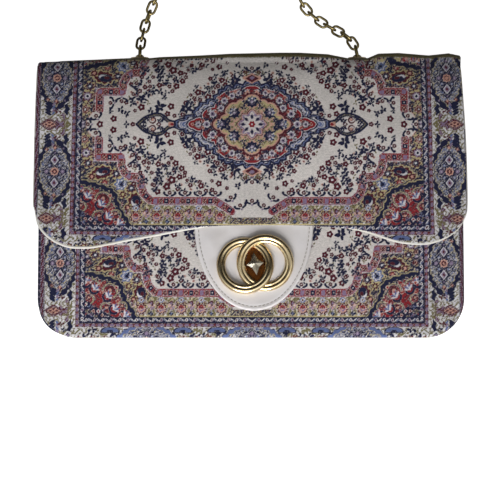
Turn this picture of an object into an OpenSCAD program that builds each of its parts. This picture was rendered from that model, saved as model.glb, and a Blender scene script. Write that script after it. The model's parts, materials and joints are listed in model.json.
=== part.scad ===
// A slim flap bag of tapestry cloth with a ringed turn lock and a chain.
// It lies on its back: X is the width, Y runs up the bag, Z points out of its front.
// The origin lies under the middle of the bag, on the surface that the back rests on.

/* [Bag body] */
// Width of the body
body_w = 274; // [200:1:360]
// Height of the body, from the bottom seam to the top fold
body_h = 181; // [160:1:260]
// Depth of the body at the bottom seam
base_depth = 42; // [34:1:70]
// Depth of the body at the top fold
top_depth = 24; // [24:0.5:30]
// Radius of the bottom corners
body_corner_r = 20; // [12:1:35]
// Outside radius of the two bends of the top fold
fold_r = 5.5; // [4:0.1:5.6]
// Thickness of the stiffened cloth panels
cloth_t = 1.6; // [1:0.1:2.5]
// Gap between panels that are sewn to each other
seam_gap = 0.3; // [0.2:0.05:0.5]
// Distance down the front from the fold to the front panel's top edge
mouth_drop = 25; // [15:1:45]
// Height of the gusset's back corner above the back, at the mouth
gusset_top_z = 12; // [8:0.5:16]

/* [Lining] */
// Thickness of the lining
lining_t = 0.8; // [0.4:0.1:1.2]
// Space between the panels and the lining, which the lock's washer needs
lining_gap = 1.6; // [1.6:0.1:3]
// Height of the lining's turned hems, which reach the panels
hem_h = 8; // [5:1:15]

/* [Flap] */
// Width of the flap at the fold
flap_top_w = 277; // [200:1:360]
// Width of the flap near its bottom corners
flap_low_w = 284; // [205:1:370]
// Length of the flap down the front at its two low points
flap_len = 116; // [90:1:150]
// Radius of the flap's bottom corners
flap_corner_r = 27; // [15:1:40]
// Width of the raised middle of the flap's bottom edge
flap_arch_w = 186; // [120:1:220]
// Height of the raised middle of the flap's bottom edge
flap_arch_h = 12; // [4:0.5:16]
// Thickness of the flap's outer cloth
flap_t = 1.2; // [0.8:0.1:2]
// Thickness of the flap's lining
flap_lining_t = 0.8; // [0.4:0.1:1.2]
// Width of the piping round the flap's sides and bottom
piping_w = 1.8; // [1:0.1:3]
// Height of the piping
piping_t = 1.8; // [1:0.1:2]

/* [Lock tab] */
// Width of the leather tab
tab_w = 77; // [64:1:100]
// Length of the tab below the flap's edge
tab_len = 56; // [50:1:70]
// Length of the tab that is sewn under the flap
tab_tuck = 14; // [8:1:25]
// Distance of the tab's middle to the right of the bag's middle
tab_x = 3.5; // [-20:0.5:20]
// Width of the tab's opening beyond the rings' opening, hidden under the rings
tab_hole_rim = 2.2; // [0.6:0.1:2.6]
// Thickness of the tab's leather
tab_t = 1.2; // [0.8:0.1:2]

/* [Turn lock] */
// Distance of the lock's centre to the right of the tab's middle
lock_x = 0.8; // [-4:0.1:4]
// Distance of the lock's centre below the flap's edge
lock_drop = 26; // [22:0.5:30]
// Turn of the pair of rings in the plane of the tab
lock_turn = 8; // [0:1:20]
// Outside radius of each ring
ring_r = 18.5; // [16:0.1:20]
// Inside radius of each ring
ring_inner_r = 12.8; // [12:0.1:13.5]
// Distance between the centres of the two rings
ring_apart = 13; // [11:0.1:14]
// Lean of each ring, one forward and one back, so that they pass through each other
ring_lean = 4.5; // [2:0.1:6]
// Height of the rings' centres above the tab
ring_lift = 0.9; // [0.5:0.1:2]
// Height of a ring's broad outer bead above its own plane
ring_bead_h = 2.5; // [2.1:0.1:3]
// Height of a ring's narrow inner bead above its own plane
ring_inner_bead_h = 2.2; // [1.8:0.1:2.6]
// Share of a ring's band that the inner bead takes
ring_inner_share = 0.5; // [0.4:0.01:0.6]
// Thickness of the plate behind the tab
backing_t = 0.5; // [0.3:0.1:0.8]
// Width of the backing plate's rim beyond the opening
backing_rim = 4; // [2:0.5:6]
// Thickness of the plate under the knob
plate_t = 1.2; // [0.8:0.1:1.6]
// Half the length of the knob's long points
knob_long = 7.5; // [7.1:0.1:8.5]
// Half the length of the knob's short points
knob_short = 5.6; // [4:0.1:6]
// Radius at the knob's four hollows
knob_waist = 3.3; // [2.8:0.1:4]
// Thickness of the knob's edge
knob_edge_t = 0.5; // [0.3:0.1:1]
// Height of the knob's pyramid above its edge
knob_peak_h = 2.6; // [1:0.1:4]
// Diameter of the knob's post
post_d = 4.4; // [3:0.1:5]
// Diameter of the washer that holds the post inside the front
washer_d = 10; // [8:0.5:14]
// Thickness of that washer
washer_t = 0.5; // [0.3:0.1:0.5]
// Thickness of the post's riveted end
rivet_t = 0.4; // [0.2:0.1:0.4]
// Diameter of the post's riveted end
rivet_d = 6.4; // [5.6:0.1:7.5]
// Running clearance round the post and between the stacked pieces of the lock
running_gap = 0.1; // [0.05:0.01:0.15]
// Clearance round what passes through an opening of the lock
pass_gap = 0.3; // [0.2:0.05:0.4]

/* [Eyelets] */
// Distance between the two eyelets in the top fold
eyelet_apart = 143; // [80:1:180]
// Diameter of the eyelets' bore
eyelet_bore_d = 8.4; // [8:0.1:9]
// Diameter of the eyelets' rim
eyelet_rim_d = 12.6; // [12:0.1:13]
// Wall of the eyelets' barrel
eyelet_wall = 0.6; // [0.4:0.1:0.8]
// Thickness of the washer inside the fold
eyelet_washer_t = 0.6; // [0.4:0.1:1]

/* [Chain] */
// Length of one link
link_len = 10.5; // [9:0.1:12]
// Width of one link
link_w = 7; // [6:0.1:7.5]
// Diameter of the links' wire
wire_d = 1.7; // [1.4:0.1:1.9]
// Play between two links
link_play = 0.5; // [0.3:0.05:0.7]
// Links from the left eyelet to the coil
left_links = 13; // [4:1:13]
// Links from the right eyelet to the coil
right_links = 14; // [4:1:14]
// Diameter of the ring at each end of the chain
end_ring_d = 14; // [13:0.5:16]
// Diameter of that ring's wire
end_ring_wire = 2; // [1.5:0.1:2.4]
// Mean diameter of the coil of spare chain
coil_d = 72; // [70:1:84]
// Strands side by side in the coil's bottom layer
coil_wide = 3; // [2:1:4]

/* [Hidden] */
$fn = 64;

rim_r = (eyelet_rim_d - eyelet_bore_d) / 4; // radius of the eyelets' half-round rim
body_bottom = -(body_h + rim_r) / 2;
body_top = body_bottom + body_h;
reach = body_w + flap_low_w; // longer than anything that is cut

// Heights above the front panel, from the plate behind the tab to the flap's outer cloth
backing_z = seam_gap;
tab_z = backing_z + backing_t + running_gap;
rings_z = tab_z + tab_t;
flap_lining_z = rings_z + 2 * running_gap;
flap_z = flap_lining_z + flap_lining_t + running_gap;
flap_top_z = flap_z + flap_t;

// The hinge line is the outer corner of the fold; the front slopes so that it ends at base_depth
hinge_y = body_top - fold_r - seam_gap;
hinge_z = top_depth;
fall = hinge_y - body_bottom;
rise = base_depth - top_depth;
slope = atan((fall * rise + flap_top_z * sqrt(fall * fall + rise * rise - flap_top_z * flap_top_z))
             / (fall * fall - flap_top_z * flap_top_z));
front_y = hinge_y - flap_top_z * sin(slope);
front_z = hinge_z - flap_top_z * cos(slope);
mouth_y = front_y - mouth_drop * cos(slope);
fold_y = body_top - fold_r;

flap_edge = flap_len - flap_arch_h; // distance down the front to the flap's raised middle
arch_r = (flap_arch_w * flap_arch_w / 4 + flap_arch_h * flap_arch_h) / (2 * flap_arch_h);

knob_z = rings_z + ring_lift + ring_inner_bead_h + pass_gap;
washer_z = -cloth_t - running_gap - washer_t;
rivet_z = washer_z - running_gap - rivet_t;
fold_mid_z = top_depth / 2;
eyelet_inside = body_top - cloth_t - running_gap;

link_pitch = link_len - 2 * wire_d - link_play;
first_link = (link_len - 2 * wire_d - end_ring_wire - link_play) / 2;
coil_in = coil_wide * link_w / 2;
coil_layer = link_w * sin(60);
coil_at = [-10.7, 184];

// Routes of the chain's two ends, from the ring inside the fold to the coil
left_route = [[-71.5, 79, 12], [-71.5, 86, 12], [-71.5, 91, 12], [-71.3, 97, 10.8], [-70.6, 102.8, 8],
              [-69.4, 108.4, 5.4], [-67.8, 114.3, 4], [-65.4, 121, 3.6], [-62.4, 128, 3.6],
              [-59.2, 135, 3.6], [-56.2, 142, 3.6], [-54, 149, 3.6], [-52.8, 156, 3.6],
              [-52.4, 163, 3.6]];
right_route = [[71.5, 79, 12], [71.5, 86, 12], [71.5, 91.6, 12], [70.3, 97.2, 11.7], [67.4, 102, 10.6],
               [63.1, 106, 8.9], [57.9, 109.2, 7], [52.5, 112.2, 5.4], [47.2, 115.6, 4.2],
               [42.2, 119.6, 3.6], [37.6, 124.4, 3.6], [34, 130.2, 3.6], [31.7, 136.8, 3.6],
               [30.5, 144, 3.6], [30.1, 152, 3.6], [30.1, 160, 3.6]];

// Catmull-Rom point on the stretch from pts[i] to pts[i + 1]
function curve_point(pts, i, t) =
    let (a = pts[max(i - 1, 0)], b = pts[i], c = pts[i + 1], d = pts[min(i + 2, len(pts) - 1)])
    (2 * b + (c - a) * t + (2 * a - 5 * b + 4 * c - d) * t * t
     + (3 * b - a - 3 * c + d) * t * t * t) / 2;

function curve(pts, steps = 8) =
    [for (i = [0 : len(pts) - 2], k = [0 : steps - 1]) curve_point(pts, i, k / steps)];

function run_lengths(line) =
    [for (i = 0, s = 0; i < len(line);
          s = s + (i < len(line) - 1 ? norm(line[i + 1] - line[i]) : 0), i = i + 1) s];

// The point at distance s along a line whose run lengths are known
function along(line, runs, s) =
    [for (axis = [0 : 2]) lookup(s, [for (i = [0 : len(line) - 1]) [runs[i], line[i][axis]]])];

// A section drawn in Y and Z, run along X
module along_x(width) rotate([90, 0, 90]) linear_extrude(width, center = true) children();

// The frame of the sloping front: origin on the front panel's surface at the fold, Y up the slope
module front_frame() translate([0, front_y, front_z]) rotate([-slope, 0, 0]) children();

module lock_frame()
    front_frame() translate([tab_x + lock_x, -flap_edge - lock_drop, 0]) rotate(lock_turn) children();

// Depth of the front at height y, lowered square to the slope by an inset
function front_depth(y, inset) = front_z + (front_y - y) * tan(slope) - inset / cos(slope);

// The body from the front, with its bottom corners rounded, open past the fold
module body_outline(inset) {
    half = body_w / 2 - inset;
    r = body_corner_r - inset;
    low = body_bottom + inset;
    translate([-half, low + r]) square([2 * half, body_h]);
    translate([-(half - r), low]) square([2 * (half - r), body_h]);
    for (side = [-1, 1]) translate([side * (half - r), low + r]) circle(r);
}

// The flap in its own plane, from the fold down; the inset leaves room for the piping
module flap_outline(inset, top = 0) {
    half = flap_low_w / 2 - inset;
    r = flap_corner_r - inset;
    low = -flap_len + inset;
    difference() {
        union() {
            polygon([[-flap_top_w / 2 + inset, top], [-half, low + r], [-half + r, low],
                     [half - r, low], [half, low + r], [flap_top_w / 2 - inset, top]]);
            for (side = [-1, 1]) translate([side * (half - r), low + r]) circle(r);
        }
        translate([0, -flap_edge - arch_r]) circle(arch_r + inset, $fn = 180);
    }
}

// The opening that both rings surround, grown by a clearance
module almond(grow = 0) intersection_for (side = [-1, 1])
    translate([side * ring_apart / 2, 0]) circle(ring_inner_r + grow);

module back_panel() color("#8c7a68") difference() {
    intersection() {
        along_x(body_w) {
            translate([body_bottom, 0]) square([fold_y - body_bottom, cloth_t]);
            translate([body_top - cloth_t, fold_r]) square([cloth_t, top_depth - 2 * fold_r]);
            for (bend = [0, 1]) translate([fold_y, bend ? top_depth - fold_r : fold_r]) difference() {
                intersection() {
                    circle(fold_r);
                    translate([0, bend ? 0 : -fold_r]) square(fold_r);
                }
                circle(fold_r - cloth_t);
            }
        }
        linear_extrude(top_depth) body_outline(0);
    }
    for (side = [-1, 1]) eyelet_place(side) cylinder(r = eyelet_bore_d / 2 + eyelet_wall + running_gap,
                                                     h = 4 * cloth_t, center = true);
}

module front_panel() color("#9a8575") difference() {
    intersection() {
        front_frame() translate([-reach / 2, -reach, -cloth_t]) cube([reach, reach - mouth_drop, cloth_t]);
        linear_extrude(base_depth + cloth_t) body_outline(0);
    }
    lock_frame() cylinder(d = post_d + 2 * running_gap, h = 4 * cloth_t, center = true);
}

module gusset() color("#7f6c60") intersection() {
    linear_extrude(base_depth) difference() {
        body_outline(0);
        body_outline(cloth_t);
    }
    inset = cloth_t + seam_gap;
    low = body_bottom - cloth_t;
    along_x(body_w) polygon([[low, inset], [fold_y, inset], [fold_y, gusset_top_z],
                             [mouth_y, front_depth(mouth_y, inset)], [low, front_depth(low, inset)]]);
}

// The space inside the panels, in Y and Z
module lining_section(inset, top) {
    low = body_bottom - cloth_t;
    polygon([[low, inset], [top, inset], [top, front_depth(top, inset)], [low, front_depth(low, inset)]]);
}

module lining() color("#4a4038") {
    outer = cloth_t + lining_gap;
    inner = outer + lining_t;
    hem_w = body_w - 2 * outer - 2 * body_corner_r;
    difference() {
        intersection() {
            linear_extrude(base_depth) body_outline(outer);
            along_x(body_w) lining_section(outer, hinge_y);
        }
        intersection() {
            linear_extrude(2 * base_depth) body_outline(inner);
            along_x(body_w) lining_section(inner, body_top + cloth_t);
        }
        along_x(body_w) polygon([[mouth_y, base_depth], [mouth_y, front_depth(mouth_y, inner)],
                                 [hinge_y, gusset_top_z], [body_top, gusset_top_z],
                                 [body_top, base_depth]]);
    }
    front_frame() translate([-hem_w / 2, -mouth_drop - hem_h, -outer - lining_t / 2])
        cube([hem_w, hem_h - 1, lining_gap - seam_gap + lining_t / 2]);
    translate([-hem_w / 2, hinge_y - hem_h, cloth_t + seam_gap])
        cube([hem_w, hem_h, lining_gap - seam_gap + lining_t / 2]);
}

module flap_cover() color("#a08c7c") front_frame() translate([0, 0, flap_z])
    linear_extrude(flap_t) flap_outline(piping_w + running_gap);

module flap_lining() color("#d8d2c6") front_frame() translate([0, 0, flap_lining_z])
    linear_extrude(flap_lining_t) intersection() {
        flap_outline(piping_w + running_gap);
        translate([-reach / 2, -reach - flap_lining_t]) square(reach);
    }

module flap_piping() color("#efebe2") front_frame() translate([0, 0, flap_top_z - piping_t])
    linear_extrude(piping_t) intersection() {
        difference() {
            flap_outline(0);
            flap_outline(piping_w, piping_w);
        }
        translate([-reach / 2, -reach - piping_w]) square(reach);
    }

module lock_tab() color("#e4e0da") {
    difference() {
        front_frame() translate([tab_x, -flap_edge, tab_z]) linear_extrude(tab_t) {
            polygon([for (a = [180 : 5 : 360]) [tab_w / 2 * cos(a), tab_len * sin(a)]]);
            translate([-tab_w / 2, -tab_t]) square([tab_w, tab_tuck + tab_t]);
        }
        lock_frame() translate([0, 0, -tab_t]) linear_extrude(4 * tab_t) almond(tab_hole_rim);
    }
}

// One ring of the pair: a broad outer bead and a narrow inner one, with a valley between
module bevelled_ring() {
    band = ring_r - ring_inner_r;
    inner_r = band * ring_inner_share / 2;
    outer_r = band * (1 - ring_inner_share) / 2 + 0.1 * band;
    rotate_extrude($fn = 96) {
        translate([ring_inner_r, -ring_r / 4]) square([band, ring_r / 4 + ring_inner_bead_h - inner_r]);
        translate([ring_r - outer_r, ring_bead_h - outer_r]) circle(outer_r);
        translate([ring_inner_r + inner_r, ring_inner_bead_h - inner_r]) circle(inner_r);
    }
}

module lock_rings() color("#c9a94f") lock_frame() translate([0, 0, rings_z]) intersection() {
    union() for (side = [-1, 1])
        translate([side * ring_apart / 2, 0, ring_lift]) rotate([side * ring_lean, 0, 0]) bevelled_ring();
    cylinder(r = ring_r + ring_apart, h = ring_r);
}

module lock_backing() color("#b59a50") lock_frame() translate([0, 0, backing_z])
    linear_extrude(backing_t) difference() {
        almond(backing_rim);
        almond(pass_gap);
    }

module lock_plate() color("#8a6a35") lock_frame() translate([0, 0, running_gap]) difference() {
    linear_extrude(plate_t) almond(-pass_gap);
    cylinder(d = post_d + 2 * running_gap, h = 4 * plate_t, center = true);
}

// Four long facets over a star whose points are the knob's grips
module turn_knob() color("#d6c48a") lock_frame() {
    star = [for (k = [0 : 7]) (k % 2 == 1 ? knob_waist : k % 4 == 0 ? knob_short : knob_long)
                              * [cos(45 * k), sin(45 * k)]];
    tip = len(star);
    translate([0, 0, knob_z]) {
        linear_extrude(knob_edge_t) polygon(star);
        translate([0, 0, knob_edge_t]) polyhedron(
            points = [for (p = star) [p.x, p.y, 0], [0, 0, knob_peak_h]],
            faces = [[for (k = [0 : tip - 1]) k], for (k = [0 : tip - 1]) [(k + 1) % tip, k, tip]]);
    }
    translate([0, 0, rivet_z]) cylinder(d = post_d, h = knob_z + knob_edge_t - rivet_z);
    translate([0, 0, rivet_z]) cylinder(d = rivet_d, h = rivet_t);
}

module post_washer() color("#b59a50") lock_frame() translate([0, 0, washer_z]) difference() {
    cylinder(d = washer_d, h = washer_t);
    cylinder(d = post_d + 2 * running_gap, h = 4 * washer_t, center = true);
}

// The outside of the top fold at the left or right eyelet, Z pointing up the bag
module eyelet_place(side)
    translate([side * eyelet_apart / 2, body_top, fold_mid_z]) rotate([-90, 0, 0]) children();

// A half-round rim outside and a barrel that ends in the washer inside
module eyelet(side) color("#c9a94f") eyelet_place(side) rotate_extrude() {
    bore_r = eyelet_bore_d / 2;
    barrel = cloth_t + 2 * running_gap + eyelet_washer_t;
    translate([bore_r, -barrel]) square([eyelet_wall, barrel]);
    intersection() {
        translate([bore_r + rim_r, 0]) circle(rim_r);
        translate([bore_r, 0]) square([2 * rim_r, rim_r]);
    }
}

module eyelet_washer(side) color("#b59a50")
    translate([side * eyelet_apart / 2, eyelet_inside, fold_mid_z]) rotate([90, 0, 0]) difference() {
        cylinder(d = eyelet_rim_d, h = eyelet_washer_t);
        cylinder(r = eyelet_bore_d / 2 + eyelet_wall + running_gap / 2, h = 4 * eyelet_washer_t, center = true);
    }

// An oval link along X, flat in X and Y
module link() {
    bend_r = (link_w - wire_d) / 2;
    half = (link_len - link_w) / 2;
    for (side = [0, 1]) {
        rotate(180 * side) translate([half, 0, 0]) rotate(-90) rotate_extrude(angle = 180)
            translate([bend_r, 0]) circle(d = wire_d);
        rotate(180 * side) translate([0, bend_r, 0]) rotate([0, 90, 0])
            cylinder(d = wire_d, h = 2 * half, center = true);
    }
}

// Links along a route, each turned a quarter from the one before
module links(route, count) color("#b8a058") {
    line = curve(route);
    runs = run_lengths(line);
    for (k = [0 : count - 1]) {
        s = first_link + link_pitch * k;
        way = along(line, runs, s + link_pitch / 2) - along(line, runs, max(0, s - link_pitch / 2));
        translate(along(line, runs, s))
            rotate([0, -asin(way.z / norm(way)), atan2(way.y, way.x)])
            rotate([k % 2 == 0 ? 90 : 0, 0, 0]) link();
    }
}

module chain_ring(route) color("#b8a058") {
    turn_r = (end_ring_d - end_ring_wire) / 2;
    translate(route[0] - [0, turn_r, 0]) rotate_extrude() translate([turn_r, 0]) circle(d = end_ring_wire);
}

// The outer shape of the turns: a wide bottom layer and a narrower one that nests on it
module chain_coil() color("#b8a058") translate(coil_at) rotate_extrude($fn = 96) {
    mid = coil_d / 2;
    top_half = coil_in - link_w / 2;
    polygon([[mid - coil_in, 0], [mid + coil_in, 0], [mid + coil_in, link_w],
             [mid + top_half, link_w + coil_layer], [mid - top_half, link_w + coil_layer],
             [mid - coil_in, link_w]]);
}

back_panel();
front_panel();
gusset();
lining();
flap_cover();
flap_lining();
flap_piping();
lock_tab();
lock_rings();
lock_backing();
lock_plate();
turn_knob();
post_washer();
eyelet(-1);  // eyelet_left
eyelet(1);  // eyelet_right
eyelet_washer(-1);  // eyelet_washer_left
eyelet_washer(1);  // eyelet_washer_right
chain_ring(left_route);  // chain_ring_left
chain_ring(right_route);  // chain_ring_right
links(left_route, left_links);  // chain_left
links(right_route, right_links);  // chain_right
chain_coil();
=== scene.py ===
"""Looks of a slim tapestry flap bag that lies on its back: cloth, leather, lock, chain, floor and light."""

import json
import logging
import math
from dataclasses import dataclass, field
from enum import Enum
from typing import Callable, Sequence

import bpy
import numpy as np
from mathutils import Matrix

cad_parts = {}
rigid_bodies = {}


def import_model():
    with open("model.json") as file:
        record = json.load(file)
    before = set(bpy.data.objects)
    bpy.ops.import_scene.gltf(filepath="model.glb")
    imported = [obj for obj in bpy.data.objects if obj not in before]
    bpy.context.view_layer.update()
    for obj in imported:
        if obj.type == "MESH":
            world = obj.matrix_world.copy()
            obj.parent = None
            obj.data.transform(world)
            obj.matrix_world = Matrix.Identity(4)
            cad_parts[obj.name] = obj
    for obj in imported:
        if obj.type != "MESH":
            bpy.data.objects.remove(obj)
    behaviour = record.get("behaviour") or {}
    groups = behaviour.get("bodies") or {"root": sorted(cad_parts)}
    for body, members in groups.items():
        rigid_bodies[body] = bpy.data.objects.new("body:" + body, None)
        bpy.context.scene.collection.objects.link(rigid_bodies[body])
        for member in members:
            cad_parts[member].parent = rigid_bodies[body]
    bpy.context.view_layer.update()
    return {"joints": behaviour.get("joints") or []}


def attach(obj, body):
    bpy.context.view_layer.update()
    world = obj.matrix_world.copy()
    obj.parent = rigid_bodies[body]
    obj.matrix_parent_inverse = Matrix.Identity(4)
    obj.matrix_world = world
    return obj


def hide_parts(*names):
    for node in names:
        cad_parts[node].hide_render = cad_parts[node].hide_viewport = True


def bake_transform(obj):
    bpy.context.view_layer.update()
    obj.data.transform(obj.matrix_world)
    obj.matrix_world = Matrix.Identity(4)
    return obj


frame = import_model()

LOG = logging.getLogger("bag")
MM = 0.001
KNOT = 0.65  # one knot of the tapestry's pattern, in millimetres
OFF = 9.0  # a distance in knots at which no yarn shows
ALL = slice(None)
UP = np.array([0, 0, 1.0])
YARN_STORES = ("yarns_1", "yarns_2", "yarns_3")
CLOTH_STORE = "cloth"
JOINTS = {joint["name"]: joint for joint in frame["joints"]}
Array = np.ndarray
Piece = bpy.types.Object
Socket = bpy.types.NodeSocket
Node = bpy.types.Node
Points = Sequence[Sequence[float]]
Distance = Callable[[Array, Array], Array]
Motif = Callable[[float, float, int], None]
Colour = tuple[float, float, float, float]
GREY = (0.5, 0.5, 0.5, 1.0)


def srgb(red: float, green: float, blue: float) -> Colour:
    """A colour as it is seen, from 0 to 255, in the linear values that shaders take.

    Args:
        red: share of red.
        green: share of green.
        blue: share of blue.

    Returns:
        Linear red, green, blue and an alpha of 1.
    """
    def linear(value: float) -> float:
        """One channel of the colour."""
        share = value / 255
        return share / 12.92 if share <= 0.04045 else ((share + 0.055) / 1.055) ** 2.4
    return linear(red), linear(green), linear(blue), 1.0


def smooth_step(low: float, high: float, value: Array) -> Array:
    """A soft step from 0 at low to 1 at high."""
    share = np.clip((value - low) / (high - low), 0, 1)
    return share * share * (3 - 2 * share)


def ripple(x: Array, y: Array, size: float, phase: float) -> Array:
    """Irregular waves between about -1 and 1, the same on every run.

    Args:
        x: places across, in metres.
        y: places along, in metres.
        size: width of the largest waves, in metres.
        phase: shifts the waves.

    Returns:
        One height for each place.
    """
    u, v = 2 * np.pi * x / size, 2 * np.pi * y / size
    waves = np.sin(u + phase) * np.cos(0.8 * v + 2.1 * phase)
    waves = waves + 0.5 * np.sin(1.7 * u + 1.3 * v + 3.3 * phase)
    return (waves + 0.35 * np.cos(2.3 * v - 1.1 * u + phase)) / 1.6


def catmull_rom(points: Points, steps: int = 8) -> Array:
    """A smooth line through points, with the last point kept.

    Args:
        points: the points that it passes through.
        steps: pieces between two points.

    Returns:
        The places along the line, one a row.
    """
    pts = np.array(points, float)
    padded = np.vstack([pts[:1], pts, pts[-1:]])
    t = (np.arange(steps) / steps)[:, None]
    line = []
    for a, b, c, d in zip(padded, padded[1:], padded[2:], padded[3:]):
        line.append((2 * b + (c - a) * t + (2 * a - 5 * b + 4 * c - d) * t ** 2
                     + (3 * b - a - 3 * c + d) * t ** 3) / 2)
    return np.vstack([*line, pts[-1:]])


def run_lengths(line: Array) -> Array:
    """Distance of each point of a line from its start."""
    return np.concatenate([[0.0], np.cumsum(np.linalg.norm(np.diff(line, axis=0), axis=1))])


def unit(rows: Array) -> Array:
    """Each row brought to length 1."""
    return rows / np.linalg.norm(rows, axis=1)[:, None]


@dataclass(frozen=True)
class FrontPlane:
    """The sloping front of the bag, placed by the hinge and by the knob's axis.

    Its x runs across the bag, its y up the slope with 0 at the fold, and its z out of the front panel.
    """

    flap_face: float = 4.4 * MM  # height of the flap's face above the front panel

    @property
    def slope(self) -> float:
        """Angle of the front to the floor."""
        axis = JOINTS["knob_turn"]["axis"]
        return math.atan2(axis[1], axis[2])

    @property
    def hinge(self) -> tuple[float, float]:
        """The hinge line's y and z."""
        return JOINTS["flap_hinge"]["pos_m"][1], JOINTS["flap_hinge"]["pos_m"][2]

    @property
    def start(self) -> tuple[float, float]:
        """The world y and z of the front panel's face under the hinge line."""
        (y, z), face = self.hinge, self.flap_face
        return y - face * math.sin(self.slope), z - face * math.cos(self.slope)

    def world(self, x: Array, y: Array, z: Array) -> Array:
        """Places of the plane in the shared frame.

        Args:
            x: across the bag.
            y: up the slope from the fold.
            z: out of the front panel.

        Returns:
            The places, one a row.
        """
        sine, cosine = math.sin(self.slope), math.cos(self.slope)
        start_y, start_z = self.start
        return np.stack([x + 0 * y, start_y + y * cosine + z * sine, start_z - y * sine + z * cosine], 1)

    def height(self, y: Array) -> Array:
        """Height of the front panel's face above the floor at a world y."""
        start_y, start_z = self.start
        return start_z + (start_y - y) * math.sin(self.slope) / math.cos(self.slope)


FRONT = FrontPlane()


def polygon_distance(outline: Array) -> Distance:
    """Signed distance to a closed outline, negative inside.

    Args:
        outline: the corners, one a row.

    Returns:
        A function of x and y.
    """
    ends = np.roll(outline, -1, axis=0)

    def distance(x: Array, y: Array) -> Array:
        """The distance at each place."""
        nearest = np.full(x.shape, np.inf)
        inside = np.zeros(x.shape, bool)
        for (ax, ay), (bx, by) in zip(outline, ends):
            ex, ey = bx - ax, by - ay
            share = np.clip(((x - ax) * ex + (y - ay) * ey) / (ex * ex + ey * ey + 1e-30), 0, 1)
            nearest = np.minimum(nearest, (x - ax - share * ex) ** 2 + (y - ay - share * ey) ** 2)
            if ay != by:
                crosses = ((ay > y) != (by > y)) & (x < ex * (y - ay) / ey + ax)
                inside ^= crosses
        return np.where(inside, -1, 1) * np.sqrt(nearest)

    return distance


@dataclass
class Patch:
    """A flat patch of mesh that follows an outline: points, faces and each point's distance to the edge."""

    x: Array
    y: Array
    depth: Array
    faces: list[list[int]]

    @staticmethod
    def cut(xs: Array, ys: Array, outline: Distance) -> "Patch":
        """Cuts a patch from a grid of lines, with its rim pulled onto the outline.

        Args:
            xs: where the lines across lie.
            ys: where the lines along lie.
            outline: signed distance to the outline, negative inside.

        Returns:
            The patch.
        """
        grid_x, grid_y = np.meshgrid(xs, ys, indexing="ij")
        x, y = grid_x.ravel(), grid_y.ravel()
        distance = outline(x, y)
        reach = 0.55 * float(np.median(np.diff(xs)) + np.median(np.diff(ys))) / 2
        near = np.nonzero(np.abs(distance) < reach)[0]
        step = 0.05 * reach
        px, py = x[near], y[near]
        slope_x = (outline(px + step, py) - outline(px - step, py)) / (2 * step)
        slope_y = (outline(px, py + step) - outline(px, py - step)) / (2 * step)
        size = np.maximum(slope_x ** 2 + slope_y ** 2, 0.25)
        x[near] -= distance[near] * slope_x / size
        y[near] -= distance[near] * slope_y / size
        distance[near] = 0
        inside = distance <= 0
        index = np.arange(x.size).reshape(grid_x.shape)
        corners = [index[:-1, :-1], index[1:, :-1], index[1:, 1:], index[:-1, 1:]]
        quads = np.stack([c.ravel() for c in corners], 1)
        kept = inside[quads]
        faces = quads[kept.all(1)].tolist()
        faces += [q[k].tolist() for q, k in zip(quads[kept.sum(1) == 3], kept[kept.sum(1) == 3])]
        used = np.unique(np.fromiter((i for f in faces for i in f), int))
        renumber = np.full(x.size, -1)
        renumber[used] = np.arange(used.size)
        faces = [[int(renumber[i]) for i in f] for f in faces]
        return Patch(x[used], y[used], -distance[used], faces)

    def rim(self) -> list[tuple[int, int]]:
        """The patch's open edges, in the direction of their faces."""
        edges = {(f[i], f[(i + 1) % len(f)]) for f in self.faces for i in range(len(f))}
        return sorted(e for e in edges if (e[1], e[0]) not in edges)


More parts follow.
